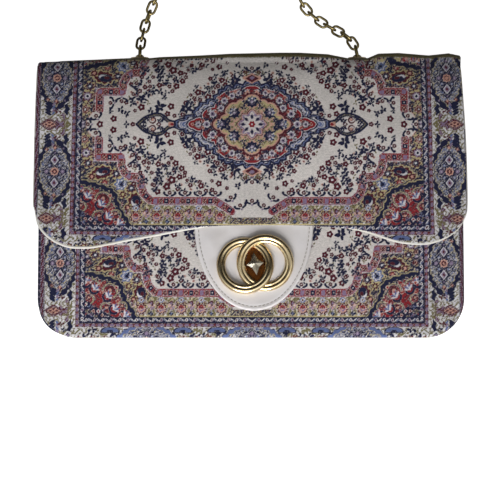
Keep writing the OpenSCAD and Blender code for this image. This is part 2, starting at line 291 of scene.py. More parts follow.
@dataclass
class Shape:
    """Vertices and faces that become one piece."""

    points: list[Array] = field(default_factory=list)
    faces: list[list[int]] = field(default_factory=list)
    count: int = 0

    def add(self, points: Array, faces: Sequence[Sequence[int]]) -> int:
        """Adds a part.

        Args:
            points: its points, one a row.
            faces: its faces, as numbers of those points.

        Returns:
            The number of its first vertex in the whole shape.
        """
        start = self.count
        self.points.append(np.asarray(points, float))
        if isinstance(faces, Array):
            self.faces += (faces + start).tolist()
        else:
            self.faces += [[i + start for i in f] for f in faces]
        self.count += len(points)
        return start

    def strip(self, rows: Sequence[Array], closed: bool = False, ends: bool = False) -> None:
        """Adds a surface through rows of points.

        Args:
            rows: rows with the same number of points each.
            closed: joins the last point of each row to its first.
            ends: closes the first and last row with a face.
        """
        count, width = len(rows), len(rows[0])
        index = np.arange(count * width).reshape(count, width)
        following = np.roll(index, -1, axis=1)
        last = width if closed else width - 1
        near, far = index[:-1, :last], index[1:, :last]
        quads = np.stack([near, following[:-1, :last], following[1:, :last], far], 2)
        start = self.add(np.vstack(rows), quads.reshape(-1, 4))
        if ends:
            self.faces.append([start + int(i) for i in index[0][::-1]])
            self.faces.append([start + int(i) for i in index[-1]])

    def tube(self, line: Array, radii: Array, sides: int) -> None:
        """Adds a tube with closed ends round a line that never stands upright.

        Args:
            line: the middle of the tube.
            radii: the tube's radius at each point.
            sides: points in a ring.
        """
        along = unit(np.gradient(line, axis=0))
        side = unit(np.cross(along, UP))
        top = np.cross(side, along)
        turn = 2 * np.pi * np.arange(sides) / sides
        rings = [p + r * (np.cos(turn)[:, None] * s + np.sin(turn)[:, None] * t)
                 for p, r, s, t in zip(line, radii, side, top)]
        self.strip(rings, closed=True, ends=True)

    def make(self, name: str, sharp_angle: float = 0.0) -> Piece:
        """Makes the piece, with smooth shading.

        Args:
            name: the piece's name.
            sharp_angle: edges with a larger angle, in degrees, stay sharp; 0 leaves none sharp.

        Returns:
            The new object, in the scene.
        """
        mesh = bpy.data.meshes.new(name)
        mesh.from_pydata(np.vstack(self.points), [], self.faces)
        mesh.polygons.foreach_set("use_smooth", np.ones(len(mesh.polygons), bool))
        if sharp_angle:
            mesh.set_sharp_from_angle(angle=math.radians(sharp_angle))
        mesh.update()
        piece = bpy.data.objects.new(name, mesh)
        bpy.context.scene.collection.objects.link(piece)
        return piece


class Yarn(Enum):
    """Colours of the tapestry's yarns, in the order in which they lie over each other."""

    CREAM = 0
    WHITE = 1
    STRAW = 2
    KHAKI = 3
    PEACH = 4
    MAUVE = 5
    BLUE = 6
    RED = 7
    MAROON = 8
    NAVY = 9


CREAM, WHITE, STRAW, KHAKI, PEACH, MAUVE, BLUE, RED, MAROON, NAVY = Yarn

YARN_COLOURS = {
    CREAM: srgb(206, 200, 196),
    WHITE: srgb(206, 204, 208),
    STRAW: srgb(180, 166, 122),
    KHAKI: srgb(108, 100, 66),
    PEACH: srgb(194, 146, 130),
    MAUVE: srgb(128, 110, 140),
    BLUE: srgb(88, 102, 146),
    RED: srgb(134, 28, 36),
    MAROON: srgb(74, 16, 32),
    NAVY: srgb(18, 21, 54),
}


class Loom:
    """Lays yarns on places of the cloth, as signed distances in knots to where each yarn shows."""

    FAR = 6.0

    def __init__(self, a: Array, b: Array) -> None:
        """Starts a cloth that is cream all over.

        Args:
            a: knots from the middle of the pattern, across.
            b: knots from the middle of the pattern, along.
        """
        self.a, self.b = a, b
        self.fields = np.full((len(Yarn), a.size), self.FAR)
        self.fields[Yarn.CREAM.value] = -self.FAR

    def lay(self, yarn: Yarn, distance: Array, where: Array | slice = slice(None)) -> None:
        """Covers the places with a negative distance.

        Args:
            yarn: the yarn that shows there.
            distance: signed distance in knots to the new field of colour.
            where: the places that distance is for.
        """
        before = self.fields[yarn.value, where].copy()
        self.fields[:, where] = np.maximum(self.fields[:, where], -distance)
        self.fields[yarn.value, where] = np.minimum(before, distance)

    def layers(self, distance: Array, where: Array | slice, *layers: tuple[Yarn, float]) -> None:
        """Lays yarns over each other, each out to its own distance.

        Args:
            distance: signed distance in knots to a line or an edge.
            where: the places that distance is for.
            *layers: each yarn with the distance up to which it shows.
        """
        for yarn, out in layers:
            self.lay(yarn, distance - out, where)

    def near(self, a: float, b: float, reach: float, angle: float = 0.0
             ) -> tuple[Array, Array, Array]:
        """The places round a point.

        Args:
            a: knots across.
            b: knots along.
            reach: how far they may lie from it.
            angle: turns the local axes, in degrees.

        Returns:
            The places' numbers, and their local x and y.
        """
        where = np.nonzero((np.abs(self.a - a) < reach) & (np.abs(self.b - b) < reach))[0]
        x, y = self.a[where] - a, self.b[where] - b
        turn = math.radians(angle)
        return where, x * math.cos(turn) + y * math.sin(turn), y * math.cos(turn) - x * math.sin(turn)


def lobed(x: Array, y: Array, radius: float, lobes: int, depth: float) -> Array:
    """Distance to a round with lobes."""
    return np.hypot(x, y) - radius - depth * np.cos(lobes * np.arctan2(y, x))


def oval(x: Array, y: Array, half_x: float, half_y: float) -> Array:
    """Distance to an ellipse, about right near its edge."""
    share = np.sqrt((x / half_x) ** 2 + (y / half_y) ** 2) + 1e-9
    slope = np.sqrt((x / half_x ** 2) ** 2 + (y / half_y ** 2) ** 2) / share + 1e-9
    return (share - 1) / np.maximum(slope, 1 / max(half_x, half_y))


def leaf(x: Array, y: Array, length: float, width: float) -> Array:
    """Distance to a pointed leaf from the origin along x."""
    share = np.clip(x / length, 0, 1)
    return np.maximum(np.abs(y) - width * 4 * share * (1 - share) / 2, np.maximum(-x, x - length))


def slanted(x: Array, y: Array, half_x: float, half_y: float) -> Array:
    """Distance to a lozenge."""
    return (np.abs(x) / half_x + np.abs(y) / half_y - 1) * half_x * half_y / math.hypot(half_x, half_y)


class Carpet(Loom):
    """The tapestry's pattern, a traditional medallion carpet, drawn for one quarter and mirrored.

    Places are in knots from the middle of the medallion: a across and b along.
    """

    FRAME_A, FRAME_B = 174.5, 106.0
    ROPE_W, GUARD_W, BORDER_W = 5.6, 4.2, 32.4
    BAND_HALF = 3.9
    BAND = (
        (151.5, 15), (151.5, 32.7), (129.5, 32.7), (128.5, 41.5), (125.5, 48), (120, 52), (109.5, 52.5),
        (109, 61.5), (106.2, 69.5), (100.5, 75), (96, 76.3), (36, 76.3), (29, 80.5), (20, 86.5))
    FIELD_TOP = ((-9, -9), (165.6, -9), (165.6, 0), (163.6, 6), (158, 13.5), (151.5, 15), (151.5, 32.7))
    FIELD_LOW = ((20, 93), (-9, 93))
    CORNER_EDGE = (
        (182, 55.6), (171, 57), (161, 58.5), (152, 61), (141, 64.5), (135, 69.5), (133, 77.5), (129, 86.5),
        (124, 93.5), (121, 99), (118, 108))
    MEDALLION = (
        (77, 0), (68, 5.6), (58, 9), (54, 17), (46, 22), (38, 25), (33, 31), (28, 36), (19, 37.5), (9, 40),
        (0, 42))
    RED_ZONE = (
        (64, 0), (58, 4.6), (49, 6.5), (47.5, 13.4), (37.5, 17.4), (33, 24), (30.5, 30.5), (19.7, 34),
        (9, 35.6), (0, 39))
    GOLD_ZONE = (
        (38.5, 0), (31.7, 4.9), (25, 9.5), (24.5, 17.5), (15.6, 21.5), (8, 24), (0, 29.8))
    STAR = ((14.6, 0), (9, 5), (10, 10), (4.6, 9.6), (0, 15))
    PENDANT = ((115, 0), (108, 6.5), (101, 9.6), (94, 11.2), (87.5, 9), (82.5, 4.4), (76, 2.6))
    ROUNDS = (
        (137.4, 5.7, 3.5), (110.1, 17.2, 3.8), (80.5, 18, 3.6), (84, 10.5, 3.1), (150.9, 0.3, 3.4),
        (79, 55.2, 4.4), (71.6, 52.2, 3.2), (69.4, 43.8, 3.2), (75.4, 38.6, 3.4), (66, 47.9, 2.3),
        (79.4, 33.6, 2.4), (82.4, 38.4, 2.3), (93, 66.8, 3.4), (84, 61.8, 4), (53.8, 32.2, 3.6),
        (43.6, 27.6, 3.7), (51.6, 24.6, 2.5), (50.2, 61, 3.3), (30, 44.6, 3.2), (26.8, 39.6, 3),
        (34, 38.6, 2.6), (32.7, 58.9, 3.3), (60.8, 60.4, 2.6), (39.5, 56.2, 2), (99, 48, 2.2),
        (116.3, 13.8, 2.1), (102.6, 43.4, 2.2), (107, 37.6, 2.6), (101.8, 38.4, 2.2), (92.6, 39.6, 3),
        (64, 55.6, 2), (118.4, 0, 2.6), (57, 24.4, 2), (98, 59.6, 2.2), (69, 9.8, 2.6), (77, 8.6, 2.4),
        (45.4, 66, 2.4), (24.6, 63.4, 2.2), (112, 33.6, 2.6), (61, 29.6, 2), (38.6, 32.6, 2.2))
    SPRIGS = (
        (92, 17.4, 7.5, 10), (66, 15.8, 7.5, 40), (110.6, 26, 5.5, 200), (130.6, 14.6, 5, 30),
        (124.6, 11, 4.6, 60), (104, 31, 5, 40), (98, 35, 4.8, 100), (91.5, 32.6, 4.6, 20), (92.6, 47, 5, 70),
        (85, 42.6, 5, 120), (76, 44.6, 5, 10), (90, 57, 4.6, 250), (92.6, 52.6, 4.4, 80), (72, 61.6, 4, 40),
        (57, 55.6, 4.6, 310), (17, 44.6, 6.5, 20), (36, 40.4, 6, 100), (101, 13.6, 4.4, 10),
        (124.6, 0, 4.4, 0), (48, 30, 4.4, 50), (45, 23, 3.6, 90), (82.6, 49.4, 4, 0), (63, 58.6, 3.6, 130),
        (59.6, 19.6, 3.8, 220), (140.5, 13, 3.2, 90), (14, 61, 4.6, 20), (28.6, 52.4, 4, 60),
        (87, 27, 4, 250), (41, 36, 3.6, 20), (104.6, 56, 4, 250), (55.6, 38, 3.6, 60), (117, 21, 3.6, 10))
    FLORETS = (
        (155, 8.5, 150), (141, 21.6, 90), (130, 23.4, 0), (118.4, 30.6, 120), (115.4, 41.6, 150),
        (163, 0, 90), (96.6, 60.6, 90), (81, 68, 0), (66, 68, 0), (51, 68, 0), (36, 68, 0), (21, 72.6, 30),
        (0, 76, 0), (11.6, 80.6, 20), (0, 57.4, 180))

    def __init__(self, a: Array, b: Array, frame_a: float = FRAME_A) -> None:
        """Lays the whole pattern.

        Args:
            a: knots across from the middle, of either sign.
            b: knots along from the middle, of either sign.
            frame_a: knots from the middle to the frame's line across.
        """
        super().__init__(np.abs(a), np.abs(b))
        self.frame_a = frame_a
        for part in (self.spandrel, self.rosette_row, self.corner, self.band, self.field_flowers,
                     self.pendant, self.medallion, self.border, self.stripes):
            part()

    def blossom(self, a: float, b: float, radius: float, *rings: Yarn, petals: int = 5) -> None:
        """A round flower of rings.

        Args:
            a: its middle across.
            b: its middle along.
            radius: how far the outer ring's petals reach, about.
            *rings: each ring's yarn, from the outer one to the heart.
            petals: how many petals each ring has.
        """
        where, x, y = self.near(a, b, 1.5 * radius)
        for k, yarn in enumerate(rings):
            share = 1 - k / len(rings)
            depth = 0.15 * radius * share
            self.lay(yarn, lobed(x, y, (radius - 0.12 * radius) * share, petals, depth), where)

    def sprig(self, a: float, b: float, size: float, angle: float, yarn: Yarn = NAVY, leaves: int = 6
              ) -> None:
        """Narrow leaves that spread from one place.

        Args:
            a: where they start, across.
            b: where they start, along.
            size: the longest leaf's length.
            angle: turns them, in degrees.
            yarn: their yarn.
            leaves: how many there are.
        """
        for k in range(leaves):
            length = size * (0.92 if k % 2 else 0.62)
            where, x, y = self.near(a, b, size, angle + 360 * k / leaves + 14 * (k % 3))
            self.lay(yarn, leaf(x - 0.1 * size, y, length, 0.38 * size), where)

    def floret(self, a: float, b: float, angle: float) -> None:
        """A small ring over two dark curls.

        Args:
            a: the ring's middle across.
            b: the ring's middle along.
            angle: turns the floret, in degrees.
        """
        where, x, y = self.near(a, b, 8, angle)
        bow = np.maximum(np.abs(oval(x, y + 0.8, 6.0, 3.8)) - 0.9, np.maximum(0.2 - y, 1.0 - np.abs(x)))
        tips = np.hypot(np.abs(x) - 5.4, y + 0.2) - 1.2
        self.lay(NAVY, np.minimum(bow, tips), where)
        self.layers(np.hypot(x, y), where, (MAROON, 2.0), (CREAM, 0.8))
        self.lay(MAUVE, np.hypot(x, y - 4.2) - 0.9, where)

    def palmette(self, a: float, b: float, half_x: float, half_y: float, angle: float) -> None:
        """A large split leaf flower in dark yarns with a pale crescent.

        Args:
            a: its middle across.
            b: its middle along.
            half_x: half its size across.
            half_y: half its size along.
            angle: turns it, in degrees.
        """
        where, x, y = self.near(a, b, 1.6 * max(half_x, half_y), angle)
        edge = oval(x, y, half_x, half_y) + 0.8 * np.cos(9 * np.arctan2(y / half_y, x / half_x))
        self.layers(edge, where, (STRAW, 1.4), (MAROON, 0))
        self.lay(NAVY, oval(x + 0.12 * half_x, y + 0.1 * half_y, 0.74 * half_x, 0.66 * half_y), where)
        self.lay(MAROON, oval(x + 0.3 * half_x, y, 0.3 * half_x, 0.3 * half_y), where)
        crescent = np.maximum(oval(x - 0.1 * half_x, y, 0.46 * half_x, 0.42 * half_y),
                              -oval(x + 0.1 * half_x, y + 0.22 * half_y, 0.46 * half_x, 0.42 * half_y))
        self.lay(WHITE, crescent, where)

    def fan(self, a: float, b: float, size: float, angle: float) -> None:
        """A pale fan of petals over a dark bow.

        Args:
            a: where the petals start, across.
            b: where the petals start, along.
            size: the fan's size.
            angle: turns it, in degrees.
        """
        where, x, y = self.near(a, b, 1.3 * size, angle)
        arc = np.abs(np.hypot(x, y) - 0.6 * size) - 0.13 * size
        self.lay(NAVY, np.maximum(arc, x - 0.1 * size), where)
        for k, turn in enumerate((-64, -32, 0, 32, 64)):
            where, x, y = self.near(a, b, 1.3 * size, angle + turn)
            petal = leaf(x + 0.3 * size, y, 1.2 * size, 0.3 * size)
            self.lay(BLUE if k % 2 else WHITE, petal, where)

    def scrolls(self, zone: Array, yarn: Yarn, size: float, width: float, phase: float = 0.0) -> None:
        """Curly lines over a zone.

        Args:
            zone: signed distance to the zone for each place of the cloth, negative inside.
            yarn: the lines' yarn.
            size: how large the curls are, in knots.
            width: half the lines' width.
            phase: where the curls start.
        """
        where = np.nonzero(zone < 0.5)[0]
        a, b = self.a[where] / size, self.b[where] / size
        u = a + 0.9 * np.sin(1.3 * b + phase)
        v = b + 0.9 * np.sin(1.1 * a + 2.1 + phase)
        figure = np.sin(1.6 * u + phase) * np.sin(1.5 * v) + 0.35 * np.sin(2.9 * v - 1.7 * u)
        self.lay(yarn, np.maximum(size * np.abs(figure - 0.1) / 1.6 - width, zone[where]), where)

    def scatter(self, zone: Array, step: float, motifs: Sequence[Motif]) -> None:
        """Fills a zone with motifs in turn, on staggered rows that wander a little.

        Args:
            zone: signed distance to the zone for each place of the cloth, negative inside.
            step: space between two motifs.
            motifs: what is drawn, each given a place and a number.
        """
        inside = np.nonzero(zone < -0.3 * step)[0]
        a, b = self.a[inside], self.b[inside]
        cells = np.unique(np.stack([np.floor(a / step), np.floor(b / step)], 1), axis=0)
        for k, (column, row) in enumerate(cells.tolist()):
            spin = column * 12.9898 + row * 78.233
            x = (column + 0.5 + 0.3 * math.sin(spin)) * step
            y = (row + 0.5 + 0.3 * math.cos(1.7 * spin)) * step
            near = np.argmin((a - x) ** 2 + (b - y) ** 2)
            if math.hypot(a[near] - x, b[near] - y) < 1.5:
                motifs[int(column + 2 * row) % len(motifs)](x, y, k)

    def spandrel(self) -> None:
        """The straw ground between the band and the frame, full of leaf flowers."""
        outline = np.vstack([self.FIELD_TOP, self.BAND[2:], self.FIELD_LOW])
        field_edge = polygon_distance(outline.astype(float))(self.a, self.b)
        inner = np.maximum(self.a - self.frame_a, self.b - self.FRAME_B) + self.ROPE_W
        zone = np.maximum(inner, -field_edge)
        self.lay(STRAW, zone)
        self.lay(PEACH, np.maximum(np.abs(field_edge) - 0.6, 150.5 - self.a))
        self.scrolls(zone, KHAKI, 2.6, 0.6, 2.0)
        self.scrolls(zone, MAROON, 2.3, 0.42, 1.0)
        self.scrolls(zone, NAVY, 2.0, 0.42, 3.0)
        self.scatter(np.maximum(zone, 106 - self.a), 6.4, (
            lambda x, y, k: self.blossom(x, y, 3.3, MAROON, PEACH, MAROON, petals=5),
            lambda x, y, k: self.sprig(x, y, 4.4, 40 * k, NAVY, 5),
            lambda x, y, k: self.blossom(x, y, 3.0, NAVY, MAUVE, WHITE, petals=5),
            lambda x, y, k: self.blossom(x, y, 3.0, NAVY, STRAW, MAROON, petals=4)))
        self.palmette(148, 47.8, 9.6, 6, 10)
        self.palmette(115, 77.4, 6.4, 8.8, 0)
        for a, b, radius, rings in ((166, 15, 5, (MAROON, PEACH, MAROON, WHITE)),
                                    (164, 28.4, 5.8, (MAROON, MAUVE, WHITE, NAVY)),
                                    (162, 38.6, 4.6, (MAROON, NAVY, WHITE)),
                                    (134, 49, 4.8, (MAROON, NAVY, WHITE)),
                                    (129, 59.6, 6.8, (BLUE, WHITE, BLUE, NAVY)),
                                    (119, 63.4, 4.8, (MAROON, NAVY, WHITE)),
                                    (145, 58, 4, (MAROON, RED, PEACH)),
                                    (158, 52, 3.6, (MAROON, PEACH)),
                                    (127, 69.6, 3.4, (MAROON, STRAW)),
                                    (122, 82.6, 3.4, (MAROON, PEACH)),
                                    (110, 95.4, 4.6, (NAVY, WHITE, BLUE))):
            self.blossom(a, b, radius + 1.2, STRAW)
            self.blossom(a, b, radius, *rings, petals=7)

    def rosette_row(self) -> None:
        """The row of crowned rosettes between the band and the rope stripe."""
        row = np.maximum(np.maximum(80.2 - self.b, self.b - 100.4), np.maximum(self.a - 106, 22 - self.a))
        self.lay(STRAW, row)
        self.scrolls(row, WHITE, 1.8, 0.5, 4.0)
        self.scrolls(row, KHAKI, 2.1, 0.55, 0.5)
        for k in range(5):
            a = 31.6 + 21 * k - 0.4 * k
            where, x, y = self.near(a, 91.8, 12)
            self.lay(STRAW, lobed(x, y + 1.5, 8.4, 8, 0.6), where)
            self.lay(KHAKI, np.abs(lobed(x, y + 1.5, 8.6, 8, 0.6)) - 0.5, where)
            self.lay(MAUVE, np.abs(lobed(x, y + 1.5, 6.9, 8, 0.5)) - 0.4, where)
            self.blossom(a, 83.4, 3.2, BLUE, WHITE, MAROON, petals=6)
            for side in (-1, 1):
                self.sprig(a + 4.4 * side, 86.4, 3.0, 90 + 60 * side, MAROON, 3)
                self.blossom(a + 8.4 * side, 88.6, 1.9, PEACH, WHITE, petals=4)
            self.blossom(a, 92, 6.2, MAROON, PEACH, MAUVE, PEACH, petals=10)
            where, x, y = self.near(a, 91, 5)
            self.lay(RED, np.maximum(np.abs(np.hypot(x, y) - 1.9) - 0.8, y - 0.9), where)
            self.lay(MAROON, oval(x, y, 1.0, 0.8), where)
            self.blossom(a + 10.3, 86.6, 2.9, MAROON, MAUVE, petals=3)
            self.blossom(a + 10.3, 91.6, 2.3, MAUVE, PEACH, petals=4)
            self.blossom(a + 10.3, 96.8, 2.4, NAVY, BLUE, petals=4)
            for shift in (-4.4, 4.4):
                self.blossom(a + shift, 98.4, 1.5, WHITE, petals=4)
        self.lay(STRAW, np.maximum(np.abs(self.b - 99.8) - 0.7, self.a - 119))

    def corner(self) -> None:
        """The red corner piece with its wavy dark edge."""
        edge = polygon_distance(np.vstack([catmull_rom(self.CORNER_EDGE, 5), [[190, 120]]]))
        inside = (self.a < self.frame_a) & (self.b < self.FRAME_B)
        where = np.nonzero(inside & (self.a > 110) & (self.b > 48))[0]
        a, b = self.a[where], self.b[where]
        away = edge(a, b) + 0.7 * np.cos(0.55 * (a - b))
        wave = 0.9 * np.cos(1.05 * (a - b))
        self.layers(away, where, (NAVY, 3.4), (STRAW, 2.8), (NAVY, 1.6), (STRAW, -2.2 - wave),
                   (NAVY, -3.2 - wave), (RED, -4.0 - wave))
        ground = np.full(self.a.size, OFF)
        ground[where] = away + wave + 4.6
        self.scrolls(ground, MAROON, 2.4, 0.4, 1.0)
        for x, y, radius in ((163.4, 68.4, 5.4), (146.4, 74.6, 7.4), (133.6, 90, 5), (168, 82, 5),
                             (150, 92, 6)):
            near, u, v = self.near(x, y, 12)
            self.layers(np.abs(np.hypot(u, v) - radius), near, (NAVY, 1.2), (STRAW, 0.6))
            self.blossom(x, y - 1, 0.55 * radius, MAROON, PEACH, petals=6)
        grove = (170 - a) * 15 / 30.65 + (83.5 - b) * 26.5 / 30.65
        ground[where] = np.maximum(grove + 1, away + 6)
        self.scrolls(ground, NAVY, 2.3, 1.1, 0.4)
        self.scatter(ground, 5.4, (
            lambda x, y, k: self.blossom(x, y, 2.8, NAVY, PEACH, MAROON, petals=5),
            lambda x, y, k: self.sprig(x, y, 4, 50 * k, KHAKI, 4),
            lambda x, y, k: self.sprig(x, y, 3.6, 80 * k, BLUE, 4),
            lambda x, y, k: self.blossom(x, y, 2.2, WHITE, RED, petals=4)))
        for x, y, angle in ((162.4, 72.4, 235), (149, 80, 225), (142, 92.4, 215), (131, 99, 205),
                            (171, 66, 250)):
            near, u, v = self.near(x, y, 8)
            self.lay(RED, np.hypot(u, v) - 6.0, near)
            self.fan(x, y, 7.6, angle)
        for x, y in ((154.6, 76), (138.6, 84.6), (168.6, 66.4), (134, 97.6), (155.4, 68.6), (169, 76),
                     (139.6, 71)):
            self.blossom(x, y, 2.1, PEACH, RED)

    def band(self) -> None:
        """The stepped red band with its squares."""
        line = np.array(self.BAND, float)
        best, along = np.full(self.a.size, np.inf), np.zeros(self.a.size)
        for (ax, ay), (bx, by), start in zip(line, line[1:], run_lengths(line)):
            ex, ey = bx - ax, by - ay
            length = math.hypot(ex, ey)
            share = np.clip(((self.a - ax) * ex + (self.b - ay) * ey) / length ** 2, 0, 1)
            gap = np.hypot(self.a - ax - share * ex, self.b - ay - share * ey)
            near = gap < best
            best[near], along[near] = gap[near], (start + share * length)[near]
        self.layers(best - self.BAND_HALF, ALL, (WHITE, 0.6), (RED, 0))
        self.lay(MAUVE, np.abs(best - self.BAND_HALF + 0.9) - 0.35)
        step, first = 5.4, 17.7
        cell = np.floor((along - first) / step + 0.5)
        offset = along - first - cell * step
        square = np.maximum(np.abs(offset) - 2.1, best - 2.3)
        for kind, yarn, heart in ((0, MAUVE, MAUVE), (2, NAVY, WHITE)):
            others = np.where(np.mod(cell, 4) == kind, -OFF, OFF)
            self.lay(yarn, np.maximum(square, others))
            self.lay(heart, np.maximum(np.hypot(offset, best) - 0.9, others))
        others = np.where(np.mod(cell, 2) == 1, -OFF, OFF)
        self.lay(MAROON, np.maximum(square, others))
        self.lay(PEACH, np.maximum(np.abs(np.abs(offset) - best) - 0.45, np.maximum(best - 2.3, others)))

    def field_flowers(self) -> None:
        """Small flowers and leaves on the cream field, close round the medallion and along the band."""
        medallion = self.zone(self.MEDALLION, 2.2)(self.a, self.b)
        meadow = (lambda x, y, k: self.sprig(x, y, 4.4, 47 * k, NAVY, 4),
                  lambda x, y, k: self.blossom(x, y, 2.6, MAROON, MAROON, WHITE),
                  lambda x, y, k: self.sprig(x, y, 3.6, 77 * k, KHAKI, 3),
                  lambda x, y, k: self.sprig(x, y, 4.2, 31 * k, NAVY, 3),
                  lambda x, y, k: self.blossom(x, y, 1.6, PEACH, MAROON, petals=4))
        corona = np.maximum(np.maximum(medallion - 15, 1.5 - medallion), self.a - 72)
        self.scatter(corona, 5.0, meadow)
        cloud = np.minimum(oval(self.a - 92, self.b - 44, 38, 15), oval(self.a - 68, self.b - 60, 62, 7.5))
        cloud = np.maximum(np.minimum(cloud, oval(self.a - 112, self.b - 27, 16, 14)), 27 - medallion)
        self.scatter(cloud, 6.2, meadow)
        for a, b, size, angle in self.SPRIGS:
            self.sprig(a, b, size, angle, NAVY, 7 if size > 5 else 5)
        for a, b, radius in self.ROUNDS:
            self.blossom(a, b, radius + 0.8, CREAM)
            self.blossom(a, b, radius, MAROON, MAROON, WHITE)
        for a, b, angle in self.FLORETS:
            self.floret(a, b, angle)

    def pendant(self) -> None:
        """The small medallion at each side of the large one."""
        outline = catmull_rom(self.PENDANT, 5)
        where = np.nonzero((self.a > 70) & (self.a < 120) & (self.b < 16))[0]
        edge = polygon_distance(np.vstack([outline, outline[::-1] * [1, -1]]))(self.a[where], self.b[where])
        self.layers(edge, where, (NAVY, 0.8), (KHAKI, -0.9), (NAVY, -2.0), (CREAM, -3.2))
        near, x, y = self.near(98.6, 4.6, 6)
        spiral = np.abs(np.mod(np.hypot(x, y) - 0.42 * np.arctan2(y, x), 2.7) - 1.35) - 0.65
        self.lay(MAROON, np.maximum(spiral, np.hypot(x, y) - 4), near)
        self.lay(PEACH, np.hypot(x, y) - 1.3, near)
        for x, y, size, angle in ((107.5, 2, 3.5, 20), (104.6, 5.6, 3.5, 60), (91, 3.5, 4, 200),
                                  (88, 6, 3, 240)):
            self.sprig(x, y, size, angle)
        self.blossom(92.6, 0, 2.4, MAROON, WHITE, petals=4)
        near, x, y = self.near(79.4, 0, 8)
        self.lay(PEACH, np.maximum(np.abs(x) - 3.6, np.abs(y) - 2.2), near)
        self.lay(RED, slanted(x, y, 2.4, 1.6), near)

    @staticmethod
    def zone(corners: Points, bulge: float) -> Distance:
        """Signed distance to a zone of the medallion, with a lobe between each pair of corners.

        Args:
            corners: one quarter of the zone's corners, from the end across to the end along.
            bulge: how far a lobe stands out.

        Returns:
            A function of a and b.
        """
        line = []
        for (ax, ay), (bx, by) in zip(corners, corners[1:]):
            size = math.hypot(bx - ax, by - ay)
            for share in (0, 0.25, 0.5, 0.75):
                out = 4 * share * (1 - share) * bulge / size
                line.append((ax + (bx - ax) * share + out * (by - ay),
                             ay + (by - ay) * share - out * (bx - ax)))
        quarter = np.array([*line, corners[-1]], float)
        return polygon_distance(np.vstack([quarter, quarter[::-1] * [-1, 1], quarter * [-1, -1],
                                           quarter[::-1] * [1, -1]]))

    def medallion(self) -> None:
        """The large medallion in the middle."""
        where = np.nonzero((self.a < 86) & (self.b < 50))[0]
        a, b = self.a[where], self.b[where]
        outer, red = self.zone(self.MEDALLION, 2.2)(a, b), self.zone(self.RED_ZONE, 1.3)(a, b)
        gold, star = self.zone(self.GOLD_ZONE, 1.9)(a, b), self.zone(self.STAR, 0.8)(a, b)
        around = np.arctan2(b * 1.8, a)
        scallop = 0.7 * np.cos(around * 44)
        self.layers(outer + scallop, where, (NAVY, 1.2), (BLUE, -0.6), (NAVY, -1.9), (WHITE, -3.0),
                   (BLUE, -3.9), (NAVY, -5.2), (MAUVE, -6.2))
        full = np.full(self.a.size, OFF)
        full[where] = outer + 3.6
        self.scrolls(full, WHITE, 1.8, 0.4, 0.3)
        self.layers(red, where, (NAVY, 1.3), (WHITE, 0.2), (RED, -0.6))
        full[where] = red + 2.6
        self.scrolls(full, MAROON, 2.0, 0.8, 2.0)
        for x, y, size, angle in ((47, 4.6, 4.4, 200), (38.4, 4.6, 4.4, 160), (25.8, 20.6, 4, 240),
                                  (13, 27, 4, 200), (33.4, 20.4, 3.8, 60), (10, 33.6, 3.8, 180),
                                  (24, 31.6, 3.6, 20)):
            self.sprig(x, y, size, angle)
        for x, y, radius in ((45, 0, 5.2), (39, 10.4, 5.4), (31, 16.4, 4.6), (27.4, 23.8, 4.6),
                             (20, 28.8, 4.4), (53.4, 0, 4), (42.6, 15, 3), (5, 33.4, 3), (13.4, 31.6, 3.8)):
            self.blossom(x, y, 0.9 * radius, NAVY, petals=7)
            self.blossom(x, y, 0.74 * radius, WHITE, MAUVE, NAVY, petals=7)
        for x, y in ((59, 0), (36, 12.6), (23.4, 26.6), (48.6, 3.6), (16.6, 33), (33, 27)):
            self.blossom(x, y, 1.9, PEACH, RED, petals=4)
        near, u, v = self.near(4.6, 31, 5)
        self.lay(PEACH, slanted(u, v, 2.8, 4.4), near)
        self.lay(MAROON, np.hypot(u, v) - 1.0, near)
        self.layers(gold, where, (MAROON, 1.9), (PEACH, 0.5), (STRAW, -0.9))
        full[where] = gold + 3.4
        self.scrolls(full, KHAKI, 2.0, 0.6, 1.4)
        self.scrolls(full, PEACH, 2.4, 0.4, 4.4)
        for x, y, angle in ((17.6, 11.6, 210), (30, 0, 180), (0, 22.6, 270)):
            self.blossom(x, y, 6.0, NAVY, MAUVE, NAVY, petals=8)
            self.fan(x, y, 6.6, angle + 180)
            self.blossom(x, y, 3.0, NAVY, MAUVE, WHITE, petals=6)
        for x, y, angle in ((8.4, 17.4, 130), (23.4, 5, 20), (7.4, 22.6, 60), (24.6, 3, 30)):
            self.sprig(x, y, 3.8, angle, NAVY, 5)
        for x, y in ((18.4, 18), (10.6, 19.6), (24, 13.4)):
            self.blossom(x, y, 2.2, KHAKI, STRAW, MAROON, petals=4)
        self.layers(star, where, (MAROON, 1.0), (PEACH, 0.2), (MAUVE, -0.8), (CREAM, -1.6))
        for x, y in ((3.4, 9.2), (10.6, 3.0), (8.2, 6.8), (12.4, 0)):
            self.blossom(x, y, 1.3, MAUVE, petals=4)
        for x, y, turn in ((0, 7.6, 90), (5.6, 5, 40), (8.8, 0, 0)):
            near, u, v = self.near(x, y, 5, turn)
            self.lay(MAUVE, leaf(u + 3, v, 6, 3.4), near)
            self.lay(NAVY, leaf(u + 2.4, v, 4.8, 2.5), near)
        self.blossom(0, 0, 3.4, RED, RED, WHITE, petals=6)
        near, u, v = self.near(0, 46.6, 11)
        self.lay(PEACH, slanted(u, v, 8.6, 5) - 0.6, near)
        self.lay(MAROON, slanted(u, v, 6.8, 4), near)
        self.lay(MAUVE, slanted(u, v - 0.6, 3.2, 2.2), near)
        self.sprig(5.6, 52, 4, 60, KHAKI, 5)
        self.sprig(10.6, 50.4, 3, 20, NAVY, 5)

